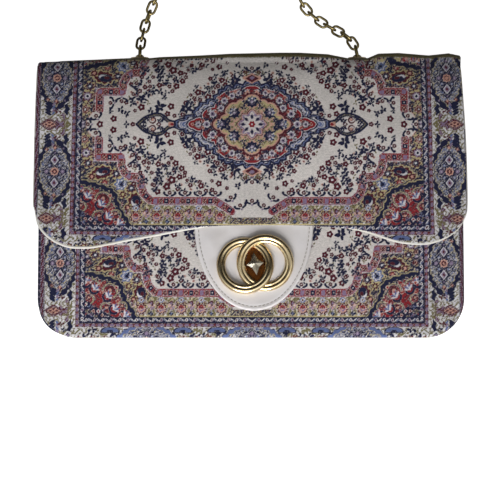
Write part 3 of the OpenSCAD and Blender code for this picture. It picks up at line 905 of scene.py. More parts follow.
    def border(self) -> None:
        """The wide pale border: scalloped diamonds, split flowers and leaves."""
        outside = np.maximum(self.a - self.frame_a, self.b - self.FRAME_B)
        self.lay(WHITE, self.GUARD_W - outside)
        middle = self.frame_a + self.GUARD_W + self.BORDER_W / 2
        guard = self.a - self.frame_a - self.GUARD_W - self.BORDER_W
        zone = np.maximum(self.GUARD_W + 0.6 - outside, guard + 1)
        self.scrolls(zone, KHAKI, 2.1, 0.4, 0.8)
        self.scatter(np.maximum(zone, self.a - self.frame_a), 7.2, (
            lambda x, y, k: self.sprig(x, y, 5.6, 47 * k, NAVY, 4),
            lambda x, y, k: self.sprig(x, y, 4.4, 31 * k, KHAKI, 4),
            lambda x, y, k: self.blossom(x, y, 2.6, MAROON, STRAW, MAROON, petals=4),
            lambda x, y, k: self.sprig(x, y, 5, 77 * k, NAVY, 3)))
        for a in (36, 71, 146):
            where, x, y = self.near(a, self.FRAME_B + 8.4, 12)
            for yarn, half_x, half_y, end in ((NAVY, 10, 4.8, 1.6), (BLUE, 8.6, 3.8, 0.8),
                                              (NAVY, 3.2, 1.3, 0.4)):
                self.lay(yarn, np.maximum(oval(x, y, half_x, half_y), y - end), where)
        for k in range(26):
            self.blossom(8 + 6.8 * k, self.FRAME_B + 15.2, 3, MAROON if k % 2 else NAVY, STRAW)
        self.diamond(middle, 47, True)
        for a in (108.5, 0):
            self.diamond(a, self.FRAME_B + 18.4, False)
        for b in (0, 94):
            self.split_flower(middle + 6.4, b)
        self.layers(-guard, ALL, (NAVY, 0.6), (MAUVE, -0.4))
        speck = np.sin(1.9 * self.b) * np.sin(1.3 * self.b + 2.2 * guard) - 0.1
        self.lay(MAROON, np.maximum(speck, 0.4 - guard))
        self.lay(NAVY, 4.0 - guard)
        mark = np.hypot(np.mod(self.b + 0.6 * guard, 6.2) - 3.1, (guard - 6.2) * 0.6) - 1.2
        self.lay(MAUVE, np.maximum(mark + 0.2, 4.6 - guard))

    def diamond(self, a: float, b: float, along: bool) -> None:
        """A scalloped diamond with small flowers.

        Args:
            a: its middle across.
            b: its middle along.
            along: its long way is along, not across.
        """
        where, x, y = self.near(a, b, 34)
        if not along:
            x, y = y, x
        rounded = 0.5 * (oval(x, y, 17.6, 29) + slanted(x, y, 17.6, 32))
        edge = np.maximum(rounded, np.abs(x) - 15.6) + 0.8 * np.cos(0.95 * y)
        inner = slanted(x, y, 11.6, 20) + 0.6 * np.cos(1.3 * y)
        self.lay(WHITE, edge - 3.0, where)
        tip = np.maximum(edge - 2.9 * smooth_step(6, 16, np.abs(y)) - 0.3, -edge - 6)
        self.lay(NAVY, tip, where)
        if not along:
            self.lay(BLUE, tip + 0.7, where)
        self.lay(STRAW, edge + 0.8, where)
        inside = np.full(self.a.size, OFF)
        inside[where] = edge + 1.6
        self.scrolls(inside, BLUE, 1.6, 0.5, 0.4)
        self.scrolls(inside, WHITE, 1.5, 0.3, 3.4)
        self.scrolls(inside, NAVY, 1.7, 0.2, 5.2)
        self.layers(inner, where, (NAVY, 0.9), (WHITE, -0.1))
        inside[where] = inner + 1.0
        self.scrolls(inside, MAUVE, 1.6, 0.5, 1.2)
        self.scrolls(inside, NAVY, 1.5, 0.36, 2.9)
        for u, v, radius, yarn in ((8, 0, 2.4, MAUVE), (5, 6, 1.9, BLUE), (5, -6, 1.9, BLUE)):
            away = np.hypot(np.abs(x) - u, y - v)
            self.layers(away, where, (NAVY, radius + 0.5), (yarn, radius - 0.4), (WHITE, 0.7))
        for sign in (-1, 1):
            for yarn, half_x, half_y in ((NAVY, 5.8, 7.0), (WHITE, 4.2, 5.4), (MAUVE, 2.8, 3.8),
                                         (MAROON, 1.3, 2.0)):
                self.lay(yarn, slanted(x, y - 11.4 * sign, half_x, half_y), where)
            self.layers(np.hypot(x, y - 18.6 * sign), where, (NAVY, 2.0), (MAUVE, 1.0))
            self.lay(MAROON, slanted(x, y - 24.2 * sign, 2.8, 3.4), where)
            self.lay(PEACH, slanted(x, y - 23.6 * sign, 1.5, 2.0), where)
        for yarn, radius in ((NAVY, 4.9), (PEACH, 4.1), (MAROON, 2.6), (PEACH, 1.3)):
            self.lay(yarn, lobed(x, y, radius, 8, 0.5), where)

    def split_flower(self, a: float, b: float) -> None:
        """A flower at the border's outer side, with curls and dark leaves.

        Args:
            a: its middle across.
            b: its middle along.
        """
        for sign in (-1, 1):
            near, u, v = self.near(a - 11, b + 5.6 * sign, 9)
            curl = np.abs(np.hypot(u, 0.8 * v) - 4.0) - 1.5
            self.lay(MAROON, np.maximum(curl, u + v * sign - 3.6), near)
            self.lay(MAUVE, np.maximum(curl + 0.8, u + v * sign - 3.0), near)
            near, u, v = self.near(a - 17, b + 15.6 * sign, 9, 90 * sign)
            self.lay(NAVY, leaf(u + 7, v - 0.8 * np.cos(u), 13, 4.6), near)
            for k in range(4):
                near, u, v = self.near(a + 1.4, b + (11 + 2.9 * k) * sign, 5, 30 * sign)
                self.lay(NAVY, oval(u, v, 3.6, 1.2), near)
                near, u, v = self.near(a - 4, b + (11.6 + 2.9 * k) * sign, 5, -50 * sign)
                self.lay(MAUVE if k % 2 else BLUE, oval(u, v, 2.4, 0.9), near)
            self.sprig(a - 16.4, b + 4.4 * sign, 5, 180 - 40 * sign, KHAKI, 5)
            self.sprig(a - 8, b + 13.4 * sign, 4.4, 90 * sign, MAROON, 4)
            self.sprig(a - 11, b + 19 * sign, 4, 70 * sign, NAVY, 4)
            self.blossom(a - 15, b + 24 * sign, 2.4, NAVY, MAUVE, petals=4)
            self.blossom(a + 2, b + 25 * sign, 2.4, MAROON, PEACH, petals=4)
        where, x, y = self.near(a, b, 12)
        for yarn, half_x, half_y in ((MAROON, 8.0, 5.8), (MAUVE, 6.6, 4.6), (MAROON, 5.9, 4.0),
                                     (PEACH, 5.0, 3.2)):
            self.lay(yarn, slanted(np.maximum(np.abs(x) - 1.4, 0) * 0.9, y, half_x, half_y), where)
        for u, v in ((-3.2, 0), (0, 1.5), (0, -1.5), (3.2, 0)):
            self.lay(MAROON, oval(x - u, y - v, 1.4, 0.8), where)

    def stripes(self) -> None:
        """The rope stripe and the guard stripe round the middle part."""
        a_side = (self.a - self.frame_a) > (self.b - self.FRAME_B)
        outside = np.where(a_side, self.a - self.frame_a, self.b - self.FRAME_B)
        along = np.where(a_side, self.b, self.a)
        rope = np.maximum(outside, -self.ROPE_W - outside)
        across = outside + self.ROPE_W / 2
        self.lay(NAVY, rope)
        turn = 8.6
        phase = np.mod(along, turn)
        for yarn, at, half, reach in ((WHITE, 2.4, 0.62, 2.3), (BLUE, 4.6, 0.5, 2.2)):
            slant = np.abs((phase - at) * 0.55 + across * 0.8) - half
            self.lay(yarn, np.maximum(np.maximum(slant, np.abs(phase - at) - reach), rope + 0.6))
        rosette = np.hypot(phase - 7.2, across)
        pale = np.mod(along, 2 * turn) > turn
        self.lay(WHITE, np.where(pale, np.maximum(rosette - 1.7, rope), OFF))
        self.lay(MAUVE, np.where(pale, OFF, np.maximum(rosette - 1.8, rope)))
        self.lay(MAROON, np.maximum(rosette - 0.8, rope))
        guard = np.maximum(-outside, outside - self.GUARD_W)
        self.lay(MAROON, guard)
        middle = outside - 0.56 * self.GUARD_W
        bead = oval(np.mod(along, 6.4) - 3.2, middle, 2.3, 1.2)
        self.lay(MAUVE, np.maximum(bead, guard))
        self.lay(RED, np.maximum(np.hypot(np.mod(along + 3.2, 6.4) - 3.2, middle) - 0.8, guard))
        self.lay(NAVY, np.abs(outside) - 0.45)


def store_yarns(piece: Piece, fields: Array, cloth: Array) -> None:
    """Keeps the pattern on the mesh, three yarns to an attribute, and the cloth's own coordinates.

    Args:
        piece: the cloth.
        fields: a row of signed distances for each yarn.
        cloth: each vertex's place on the flat cloth, in millimetres.
    """
    for k, name in enumerate(YARN_STORES):
        attribute = piece.data.attributes.new(name, "FLOAT_VECTOR", "POINT")
        rows = np.clip(fields[1 + 3 * k:4 + 3 * k], -2, 2)
        attribute.data.foreach_set("vector", rows.T.astype(np.float32).ravel())
    attribute = piece.data.attributes.new(CLOTH_STORE, "FLOAT_VECTOR", "POINT")
    flat = np.column_stack([cloth, np.zeros(len(cloth))])
    attribute.data.foreach_set("vector", flat.astype(np.float32).ravel())


class Nodes:
    """Adds nodes to a shader tree and links them."""

    def __init__(self, tree: bpy.types.NodeTree) -> None:
        """Starts in a tree: a material's, a world's or a group's."""
        self.tree = tree

    def put(self, node: Node, **values: object) -> None:
        """Links or sets a node's inputs.

        Args:
            node: the node.
            **values: sockets or values, by the input's name with _ for a space, or by i and its number.
        """
        for name, value in values.items():
            socket = node.inputs[int(name[1:])] if name[1:].isdigit() else node.inputs[name.replace("_", " ")]
            if isinstance(value, Socket):
                self.tree.links.new(value, socket)
            else:
                socket.default_value = value

    def add(self, kind: str, settings: dict | None = None, **values: object) -> Node:
        """Adds a node.

        Args:
            kind: the node's type, without its first word.
            settings: the node's own settings.
            **values: what goes into its inputs, as put takes it.

        Returns:
            The node.
        """
        node = self.tree.nodes.new("ShaderNode" + kind)
        for name, value in (settings or {}).items():
            setattr(node, name, value)
        self.put(node, **values)
        return node

    def math(self, operation: str, a: object, b: object = 0.5, c: object = 0.5) -> Socket:
        """One step of arithmetic."""
        return self.add("Math", {"operation": operation}, i0=a, i1=b, i2=c).outputs[0]

    def mix(self, share: object, a: object, b: object, how: str = "MIX") -> Socket:
        """Two colours laid over each other."""
        return self.add("Mix", {"data_type": "RGBA", "blend_type": how}, i0=share, i6=a, i7=b).outputs[2]

    def grey(self, value: object) -> Socket:
        """A colour with the same share of red, green and blue."""
        return self.add("CombineColor", None, i0=value, i1=value, i2=value).outputs[0]

    def remap(self, value: object, low: float, high: float, to_low: object = 0.0, to_high: object = 1.0
              ) -> Socket:
        """A value moved from one range to another, and held inside it."""
        return self.add("MapRange", None, Value=value, From_Min=low, From_Max=high, To_Min=to_low,
                        To_Max=to_high).outputs[0]

    def noise(self, place: object, scale: object, detail: float = 2.0, roughness: float = 0.5
              ) -> Socket:
        """Cloudy noise between 0 and 1."""
        return self.add("TexNoise", None, Vector=place, Scale=scale, Detail=detail,
                        Roughness=roughness).outputs[0]

    def stretch(self, place: object, x: float, y: float) -> Socket:
        """Places with their x and y made longer or shorter."""
        return self.add("Mapping", None, Vector=place, Scale=(x, y, 1.0)).outputs[0]


def group(name: str, inputs: dict[str, str], outputs: dict[str, str]) -> tuple[Nodes, list, Node]:
    """Starts a node group with its sockets.

    Args:
        name: the group's name.
        inputs: kind of each named input.
        outputs: kind of each named output.

    Returns:
        The group's nodes, the sockets that its inputs arrive at, and its output node.
    """
    tree = bpy.data.node_groups.new(name, "ShaderNodeTree")
    for way, sockets in (("INPUT", inputs), ("OUTPUT", outputs)):
        for label, kind in sockets.items():
            tree.interface.new_socket(label, in_out=way, socket_type="NodeSocket" + kind)
    start, end = tree.nodes.new("NodeGroupInput"), tree.nodes.new("NodeGroupOutput")
    return Nodes(tree), start.outputs[:len(inputs)], end


def yarn_group() -> bpy.types.NodeTree:
    """A group that turns the stored distances into the cloth's colour."""
    nodes, start, end = group("yarn_colours", {"Yarns 1": "Vector", "Yarns 2": "Vector", "Yarns 3": "Vector",
                                               "Cloth": "Vector"}, {"Color": "Color"})
    wander = nodes.remap(nodes.noise(start[3], 1.1, 1.0), 0.25, 0.75, -0.22, 0.22)
    colour = YARN_COLOURS[CREAM]
    for yarn in list(Yarn)[1:]:
        number = yarn.value - 1
        parts = nodes.add("SeparateXYZ", None, i0=start[number // 3])
        mask = nodes.remap(nodes.math("ADD", parts.outputs[number % 3], wander), 0.4, -0.15)
        colour = nodes.mix(mask, colour, YARN_COLOURS[yarn])
    nodes.put(end, Color=colour)
    return nodes.tree


def weave_group() -> bpy.types.NodeTree:
    """A group that gives the cloth's ribs, its specks and its slow changes of tone, in millimetres."""
    rib, column_width = 0.95, 1.3
    nodes, (cloth,), end = group("weave", {"Cloth": "Vector"}, {"Height": "Float", "Specks": "Float",
                                                               "Tone": "Float"})
    parts = nodes.add("SeparateXYZ", None, i0=cloth)
    wander = nodes.noise(cloth, 0.35, 1.0)
    row = nodes.math("MULTIPLY_ADD", parts.outputs[1], 2 * math.pi / rib, nodes.math("MULTIPLY", wander, 5.0))
    column = nodes.math("MULTIPLY_ADD", parts.outputs[0], 2 * math.pi / column_width,
                        nodes.math("MULTIPLY", wander, 4.0))
    ribs = nodes.math("MULTIPLY", nodes.math("SINE", row), nodes.math("SINE", column))
    specks = nodes.noise(nodes.stretch(cloth, 0.55, 1.0), 1.15, 2.0, 0.6)
    height = nodes.math("MULTIPLY_ADD", ribs, 0.5, nodes.math("MULTIPLY", specks, 1.6))
    nodes.put(end, Height=height, Specks=specks, Tone=nodes.noise(cloth, 0.035, 3.0))
    return nodes.tree


def grain_group() -> bpy.types.NodeTree:
    """A group that gives leather, thread and plain cloth their fine grain and faint clouds."""
    nodes, (place, scale, base, dark), end = group(
        "grain", {"Place": "Vector", "Scale": "Float", "Base": "Color", "Dark": "Color"},
        {"Color": "Color", "Height": "Float"})
    cloud_scale = nodes.math("DIVIDE", scale, 14)
    clouds = nodes.remap(nodes.noise(place, cloud_scale, 3.0), 0.42, 0.72)
    nodes.put(end, Color=nodes.mix(clouds, base, dark), Height=nodes.noise(place, scale, 3.0, 0.6))
    return nodes.tree


def plate_group() -> bpy.types.NodeTree:
    """A group that gives plated metal its darker clouds, its uneven gloss and its fine scratches."""
    nodes, (place, base, dark, gloss), end = group(
        "plating", {"Place": "Vector", "Base": "Color", "Dark": "Color", "Roughness": "Float"},
        {"Color": "Color", "Roughness": "Float", "Height": "Float"})
    clouds = nodes.remap(nodes.noise(place, 160, 4.0, 0.6), 0.45, 0.75)
    uneven = nodes.remap(nodes.noise(place, 420, 3.0), 0.3, 0.7, nodes.math("MULTIPLY", gloss, 0.8),
                         nodes.math("MULTIPLY", gloss, 1.35))
    scratches = nodes.noise(nodes.stretch(place, 1.0, 0.12), 3200, 2.0)
    nodes.put(end, Color=nodes.mix(clouds, base, dark), Roughness=uneven, Height=scratches)
    return nodes.tree


class Effect(Enum):
    """The shared effect that a finish takes its colour and its height from."""

    WEAVE = "weave"
    GRAIN = "grain"
    PLATE = "plate"


@dataclass(frozen=True)
class Finish:
    """A material's effect and colours, and what its shader takes that is the same all over."""

    name: str
    effect: Effect | None = None
    base: Colour = GREY
    dark: Colour = GREY
    grain: float = 0.0  # waves of the grain in a metre
    roughness: float = 0.5
    metallic: float = 0.0
    sheen: float = 0.0
    specular: float = 0.5
    bump: float = 0.2
    bump_size: float = 0.0003


def plated(name: str, base: Colour, dark: Colour, roughness: float, bump: float) -> Finish:
    """A finish of plated metal."""
    return Finish(name, Effect.PLATE, base, dark, roughness=roughness, metallic=1.0, bump=bump,
                  bump_size=0.00005)


class Surface(Enum):
    """The finishes of the bag's pieces."""

    TAPESTRY = Finish("woven_tapestry", Effect.WEAVE, roughness=0.86, sheen=0.12, specular=0.25, bump=0.55,
                      bump_size=0.0004)
    TAB = Finish("tab_leather", Effect.GRAIN, srgb(212, 208, 208), srgb(202, 197, 195), 900, roughness=0.46,
                 specular=0.4, bump=0.16)
    TRIM = Finish("trim_leather", Effect.GRAIN, srgb(212, 209, 203), srgb(204, 199, 188), 700, specular=0.4,
                  bump_size=0.0002)
    THREAD = Finish("thread", Effect.GRAIN, srgb(158, 152, 144), srgb(134, 128, 120), 3000, roughness=0.7,
                    specular=0.3, bump=0.3, bump_size=0.0001)
    POUCH = Finish("pouch", Effect.GRAIN, srgb(168, 158, 138), srgb(150, 138, 116), 1600, roughness=0.8,
                   sheen=0.1, specular=0.3, bump=0.4)
    GOLD = plated("gold", srgb(232, 212, 170), srgb(198, 168, 120), 0.17, 0.06)
    DARK_GOLD = plated("dark_gold", srgb(146, 88, 40), srgb(84, 46, 24), 0.24, 0.1)
    PALE_GOLD = plated("pale_gold", srgb(226, 218, 198), srgb(168, 158, 130), 0.22, 0.06)
    CHAIN_GOLD = plated("chain_gold", srgb(160, 144, 98), srgb(96, 86, 52), 0.3, 0.1)


def shaded(finish: Finish) -> tuple[bpy.types.Material, Nodes, Node]:
    """Starts a material with its shader.

    Args:
        finish: its name and its uniform values.

    Returns:
        The material, its nodes and its shader.
    """
    material = bpy.data.materials.new(finish.name)
    material.use_nodes = True
    nodes = Nodes(material.node_tree)
    shader = material.node_tree.nodes["Principled BSDF"]
    nodes.put(shader, Roughness=finish.roughness, Metallic=finish.metallic, Sheen_Weight=finish.sheen,
              Specular_IOR_Level=finish.specular)
    return material, nodes, shader


class Materials:
    """Makes each material once."""

    def __init__(self) -> None:
        """Makes the groups that the materials share."""
        self.yarns, self.weave = yarn_group(), weave_group()
        self.effects = {Effect.GRAIN: grain_group(), Effect.PLATE: plate_group()}
        self.made: dict[Surface, bpy.types.Material] = {}

    def use(self, piece: Piece, surface: Surface) -> None:
        """Gives a piece a material.

        Args:
            piece: the new piece or the CAD node.
            surface: the material's finish.
        """
        if surface not in self.made:
            self.made[surface] = self.make(surface.value)
        if piece.material_slots:
            for slot in piece.material_slots:
                slot.material = self.made[surface]
        else:
            piece.data.materials.append(self.made[surface])

    def make(self, finish: Finish) -> bpy.types.Material:
        """Makes a material from its finish.

        Args:
            finish: the finish.

        Returns:
            The material.
        """
        material, nodes, shader = shaded(finish)
        if finish.effect is Effect.WEAVE:
            colour, height = self.woven(nodes)
        else:
            place = nodes.add("TexCoord").outputs["Object"]
            effect = nodes.add("Group", {"node_tree": self.effects[finish.effect]}, Place=place,
                               Base=finish.base, Dark=finish.dark)
            colour, height = effect.outputs["Color"], effect.outputs["Height"]
            if finish.effect is Effect.PLATE:
                nodes.put(effect, Roughness=finish.roughness)
                nodes.put(shader, Roughness=effect.outputs["Roughness"])
            else:
                nodes.put(effect, Scale=finish.grain)
        relief = nodes.add("Bump", None, Strength=finish.bump, Distance=finish.bump_size, Height=height)
        nodes.put(shader, Base_Color=colour, Normal=relief.outputs[0])
        return material

    def woven(self, nodes: Nodes) -> tuple[Socket, Socket]:
        """Adds the tapestry's pattern, which the mesh stores, and its weave.

        Args:
            nodes: the material's nodes.

        Returns:
            The cloth's colour and its height.
        """
        yarns = nodes.add("Group", {"node_tree": self.yarns})
        for k, name in enumerate((*YARN_STORES, CLOTH_STORE)):
            stored = nodes.add("Attribute", {"attribute_name": name}).outputs["Vector"]
            nodes.tree.links.new(stored, yarns.inputs[k])
        weave = nodes.add("Group", {"node_tree": self.weave}, Cloth=stored)
        light = nodes.remap(weave.outputs["Specks"], 0.3, 0.7, 0.78, 1.16)
        tone = nodes.remap(weave.outputs["Tone"], 0.35, 0.65, 0.92, 1.06)
        shade = nodes.grey(nodes.math("MULTIPLY", light, tone))
        return nodes.mix(1.0, yarns.outputs[0], shade, "MULTIPLY"), weave.outputs["Height"]


def dress(piece: Piece, materials: Materials, surface: Surface, slot: str, *nodes: str,
          body: str = "") -> Piece:
    """Gives a new piece its material and its body, and hides the CAD nodes that it stands for.

    Args:
        piece: the new piece.
        materials: the materials.
        surface: its finish.
        slot: its material slot in the CAD; not used.
        *nodes: the CAD nodes that it stands for.

    Returns:
        The same piece.
    """
    materials.use(piece, surface)
    if body:
        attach(piece, body)
    if nodes:
        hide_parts(*nodes)
    return piece


@dataclass(frozen=True)
class Link:
    """Sizes of the chain's links and of the way they follow each other, in metres."""

    length: float = 0.0105
    width: float = 0.007
    wire: float = 0.0017
    pitch: float = 0.0066
    first: float = 0.0023
    bend_steps: int = 8
    wire_sides: int = 8

    def loop(self) -> Array:
        """The middle of the wire, flat in x and y, as one closed row of points."""
        bend = (self.width - self.wire) / 2
        half = (self.length - self.width) / 2
        turn = np.linspace(-np.pi / 2, np.pi / 2, self.bend_steps + 1)
        right = np.column_stack([half + bend * np.cos(turn), bend * np.sin(turn), 0 * turn])
        return np.vstack([right, right * [-1, -1, 1]])

    def mesh(self) -> tuple[Array, Array]:
        """Vertices and faces of one link."""
        line = self.loop()
        ahead = unit(np.roll(line, -1, axis=0) - np.roll(line, 1, axis=0))
        side = np.cross(ahead, UP)
        turn = 2 * np.pi * np.arange(self.wire_sides) / self.wire_sides
        radius = self.wire / 2
        points = (line[:, None] + radius * np.cos(turn)[None, :, None] * side[:, None]
                  + radius * np.sin(turn)[None, :, None] * UP)
        index = np.arange(len(line) * self.wire_sides).reshape(len(line), self.wire_sides)
        around = np.roll(index, -1, axis=1)
        faces = np.stack([index, around, np.roll(around, -1, axis=0), np.roll(index, -1, axis=0)], 2)
        return points.reshape(-1, 3), faces.reshape(-1, 4)


@dataclass(frozen=True)
class Chain:
    """The chain strap: out of the left eyelet, round the coil and back into the right eyelet, in metres."""

    materials: Materials
    link: Link = Link()
    left_route: Points = ((-0.0715, 0.079, 0.012), (-0.0715, 0.086, 0.012), (-0.0715, 0.091, 0.012),
                          (-0.0713, 0.097, 0.0108), (-0.0706, 0.1028, 0.008), (-0.0694, 0.1084, 0.0054),
                          (-0.0678, 0.1143, 0.004), (-0.0654, 0.121, 0.0036), (-0.0624, 0.128, 0.0036),
                          (-0.0592, 0.135, 0.0036), (-0.0562, 0.142, 0.0036), (-0.054, 0.149, 0.0036),
                          (-0.0528, 0.156, 0.0036), (-0.0524, 0.163, 0.0036))
    right_route: Points = ((0.0715, 0.079, 0.012), (0.0715, 0.086, 0.012), (0.0715, 0.0916, 0.012),
                           (0.0703, 0.0972, 0.0117), (0.0674, 0.102, 0.0106), (0.0631, 0.106, 0.0089),
                           (0.0579, 0.1092, 0.007), (0.0525, 0.1122, 0.0054), (0.0472, 0.1156, 0.0042),
                           (0.0422, 0.1196, 0.0036), (0.0376, 0.1244, 0.0036), (0.034, 0.1302, 0.0036),
                           (0.0317, 0.1368, 0.0036), (0.0305, 0.144, 0.0036))
    coil_at: tuple[float, float] = (-0.0107, 0.184)
    turns: Points = ((0.043, 0.0036), (0.036, 0.0036), (0.029, 0.0036), (0.0325, 0.00966),
                     (0.0395, 0.00966))  # radius and height of each turn
    leave: Points = ((0.0289, 0.176, 0.0099), (0.0292, 0.1685, 0.01), (0.0296, 0.1615, 0.0086),
                     (0.03, 0.1545, 0.0058), (0.0303, 0.149, 0.0042))
    turn_steps: int = 24
    last_steps: int = 13
    sway: float = 0.16  # how far a link leans off its quarter turn, in radians
    path_points: int = 420

    def coil(self) -> Array:
        """The turns: three side by side, then one and a half on top of them."""
        points = []
        for k, ((radius, height), (next_radius, next_height)) in enumerate(
                zip(self.turns, (*self.turns[1:], self.turns[-1]))):
            last = k == len(self.turns) - 1
            share = np.arange(self.last_steps if last else self.turn_steps) / self.turn_steps
            blend = smooth_step(0.7, 1.0, share)
            angle = math.pi - 2 * math.pi * share
            now = radius + (next_radius - radius) * blend
            points.append(np.column_stack([self.coil_at[0] + now * np.cos(angle),
                                           self.coil_at[1] + now * np.sin(angle),
                                           height + (next_height - height) * blend]))
        return np.vstack(points)

    def build(self) -> list[Piece]:
        link = self.link
        line = catmull_rom([*self.left_route, *self.coil(), *self.leave, *self.right_route[::-1]], 6)
        runs = run_lengths(line)
        pairs = round((runs[-1] - 2 * link.first) / link.pitch / 2)
        places = np.linspace(link.first, runs[-1] - link.first, 2 * pairs + 1)

        def at(distance: Array) -> Array:
            """Places at distances along the line."""
            return np.stack([np.interp(distance, runs, line[:, axis]) for axis in range(3)], 1)

        along = unit(at(places + link.pitch / 2) - at(places - link.pitch / 2))
        points, faces = link.mesh()
        shape = Shape()
        for k, (centre, ahead) in enumerate(zip(at(places), along)):
            side = np.cross(ahead, UP)
            side /= np.linalg.norm(side)
            roll = (math.pi / 2 if k % 2 == 0 else 0) + self.sway * math.sin(2.4 * k)
            across = math.cos(roll) * side + math.sin(roll) * np.cross(side, ahead)
            shape.add(centre + points @ np.array([ahead, across, np.cross(ahead, across)]), faces)
        piece = shape.make("chain")
        dress(piece, self.materials, Surface.CHAIN_GOLD, "chain_metal", "chain_left", "chain_right",
              "chain_coil", body="bag")
        LOG.info("chain: %d links, %.3f m", len(places), runs[-1])
        return [piece]


def rolled(depth: Array, radius: float) -> Array:
    """How far a rounded edge lies below the face, in metres, for depths from the edge in millimetres."""
    inner = np.clip(radius * MM - depth * MM, 0, radius * MM)
    return np.sqrt((radius * MM) ** 2 - inner ** 2) - radius * MM


def grid(low: float, high: float, step: float) -> Array:
    """Evenly spaced lines from low to high, about a step apart; from high to low there are only three."""
    return np.linspace(low, high, max(2, round((high - low) / step)) + 1)


def plate(shape: Shape, patch: Patch, high: Array, low: Array) -> None:
    """Adds a closed plate between two sets of places for one patch.

    Args:
        shape: the shape to add to.
        patch: the patch.
        high: the upper places.
        low: the lower places.
    """
    count = len(high)
    faces = patch.faces + [[i + count for i in f[::-1]] for f in patch.faces]
    faces += [[v, u, u + count, v + count] for u, v in patch.rim()]
    shape.add(np.vstack([high, low]), faces)


def tray(x: Array, y: Array, z: Array | float) -> Array:
    """Places from x and y in millimetres and z in metres, one a row."""
    return np.column_stack([x * MM, y * MM, z + 0 * x])


@dataclass(frozen=True)
class Waves:
    """Soft waves of two sizes: height, width and phase of each, in millimetres."""

    large: tuple[float, float, float]
    small: tuple[float, float, float]

    def height(self, x: Array, y: Array) -> Array:
        """Height of the waves at each place."""
        return sum(height * ripple(x, y, size, phase) for height, size, phase in (self.large, self.small))


@dataclass(frozen=True)
class Fold:
    """The body's profile from the hinge over the top fold and down the back, as the cloth's own length."""

    radius: float = 5.5 * MM
    gap: float = 0.3 * MM  # from the hinge line to where the fold starts to bend
    lean: float = 0.333  # how steeply the flap's plane goes on past the hinge line
    top_edge: Points = ((-139, -4.8), (-132, -3.3), (-122.5, -1.9), (-96.5, -0.8), (-83.5, -0.2), (-78, 0),
                        (-65, 0), (-58, 0.7), (-31.5, 1.8), (-12, 2.9), (20.5, 3.6), (33.5, 3.6), (52, 2.6),
                        (65, 0), (78, 0), (85, 3.0), (98.5, 3.4), (118, 1.8), (131, 3.2), (139, 1.6))

    def place(self, x: Array, run: Array, proud: Array | float) -> Array:
        """Places on the fold and on the back, in metres.

        Args:
            x: across the bag.
            run: length of cloth from the hinge line, 0 or more.
            proud: height above the profile.

        Returns:
            The places, one a row.
        """
        hinge_y, top = FRONT.hinge
        bend = self.radius * math.pi / 2
        stops = np.cumsum([self.gap, bend, top - 2 * self.radius, bend])
        first = np.clip(run - stops[0], 0, bend) / self.radius
        second = np.clip(run - stops[2], 0, bend) / self.radius
        turn = first + second
        down = np.clip(run - stops[1], 0, stops[2] - stops[1])
        past = np.maximum(run - stops[3], 0)
        y = hinge_y + np.clip(run, 0, self.gap) + self.radius * np.sin(first)
        y = y - self.radius * (1 - np.cos(second)) - past
        z = top - self.radius * (1 - np.cos(first)) - down - self.radius * np.sin(second)
        return np.stack([x + 0 * run, y + proud * np.sin(turn), z + proud * np.cos(turn)], 1)

    def bulge(self, x: Array, run: Array) -> Array:
        """How far the top fold stands out.

        Args:
            x: places across, in millimetres.
            run: lengths of cloth from the hinge line, in millimetres.

        Returns:
            Heights above the profile, in metres.
        """
        across, out = np.transpose(self.top_edge)
        full = np.interp(x, across, out) * smooth_step(2.5, 8.5, run) * smooth_step(27, 18, run)
        return (full - self.lean * np.maximum(run, 0) * smooth_step(9, 0, run)) * MM


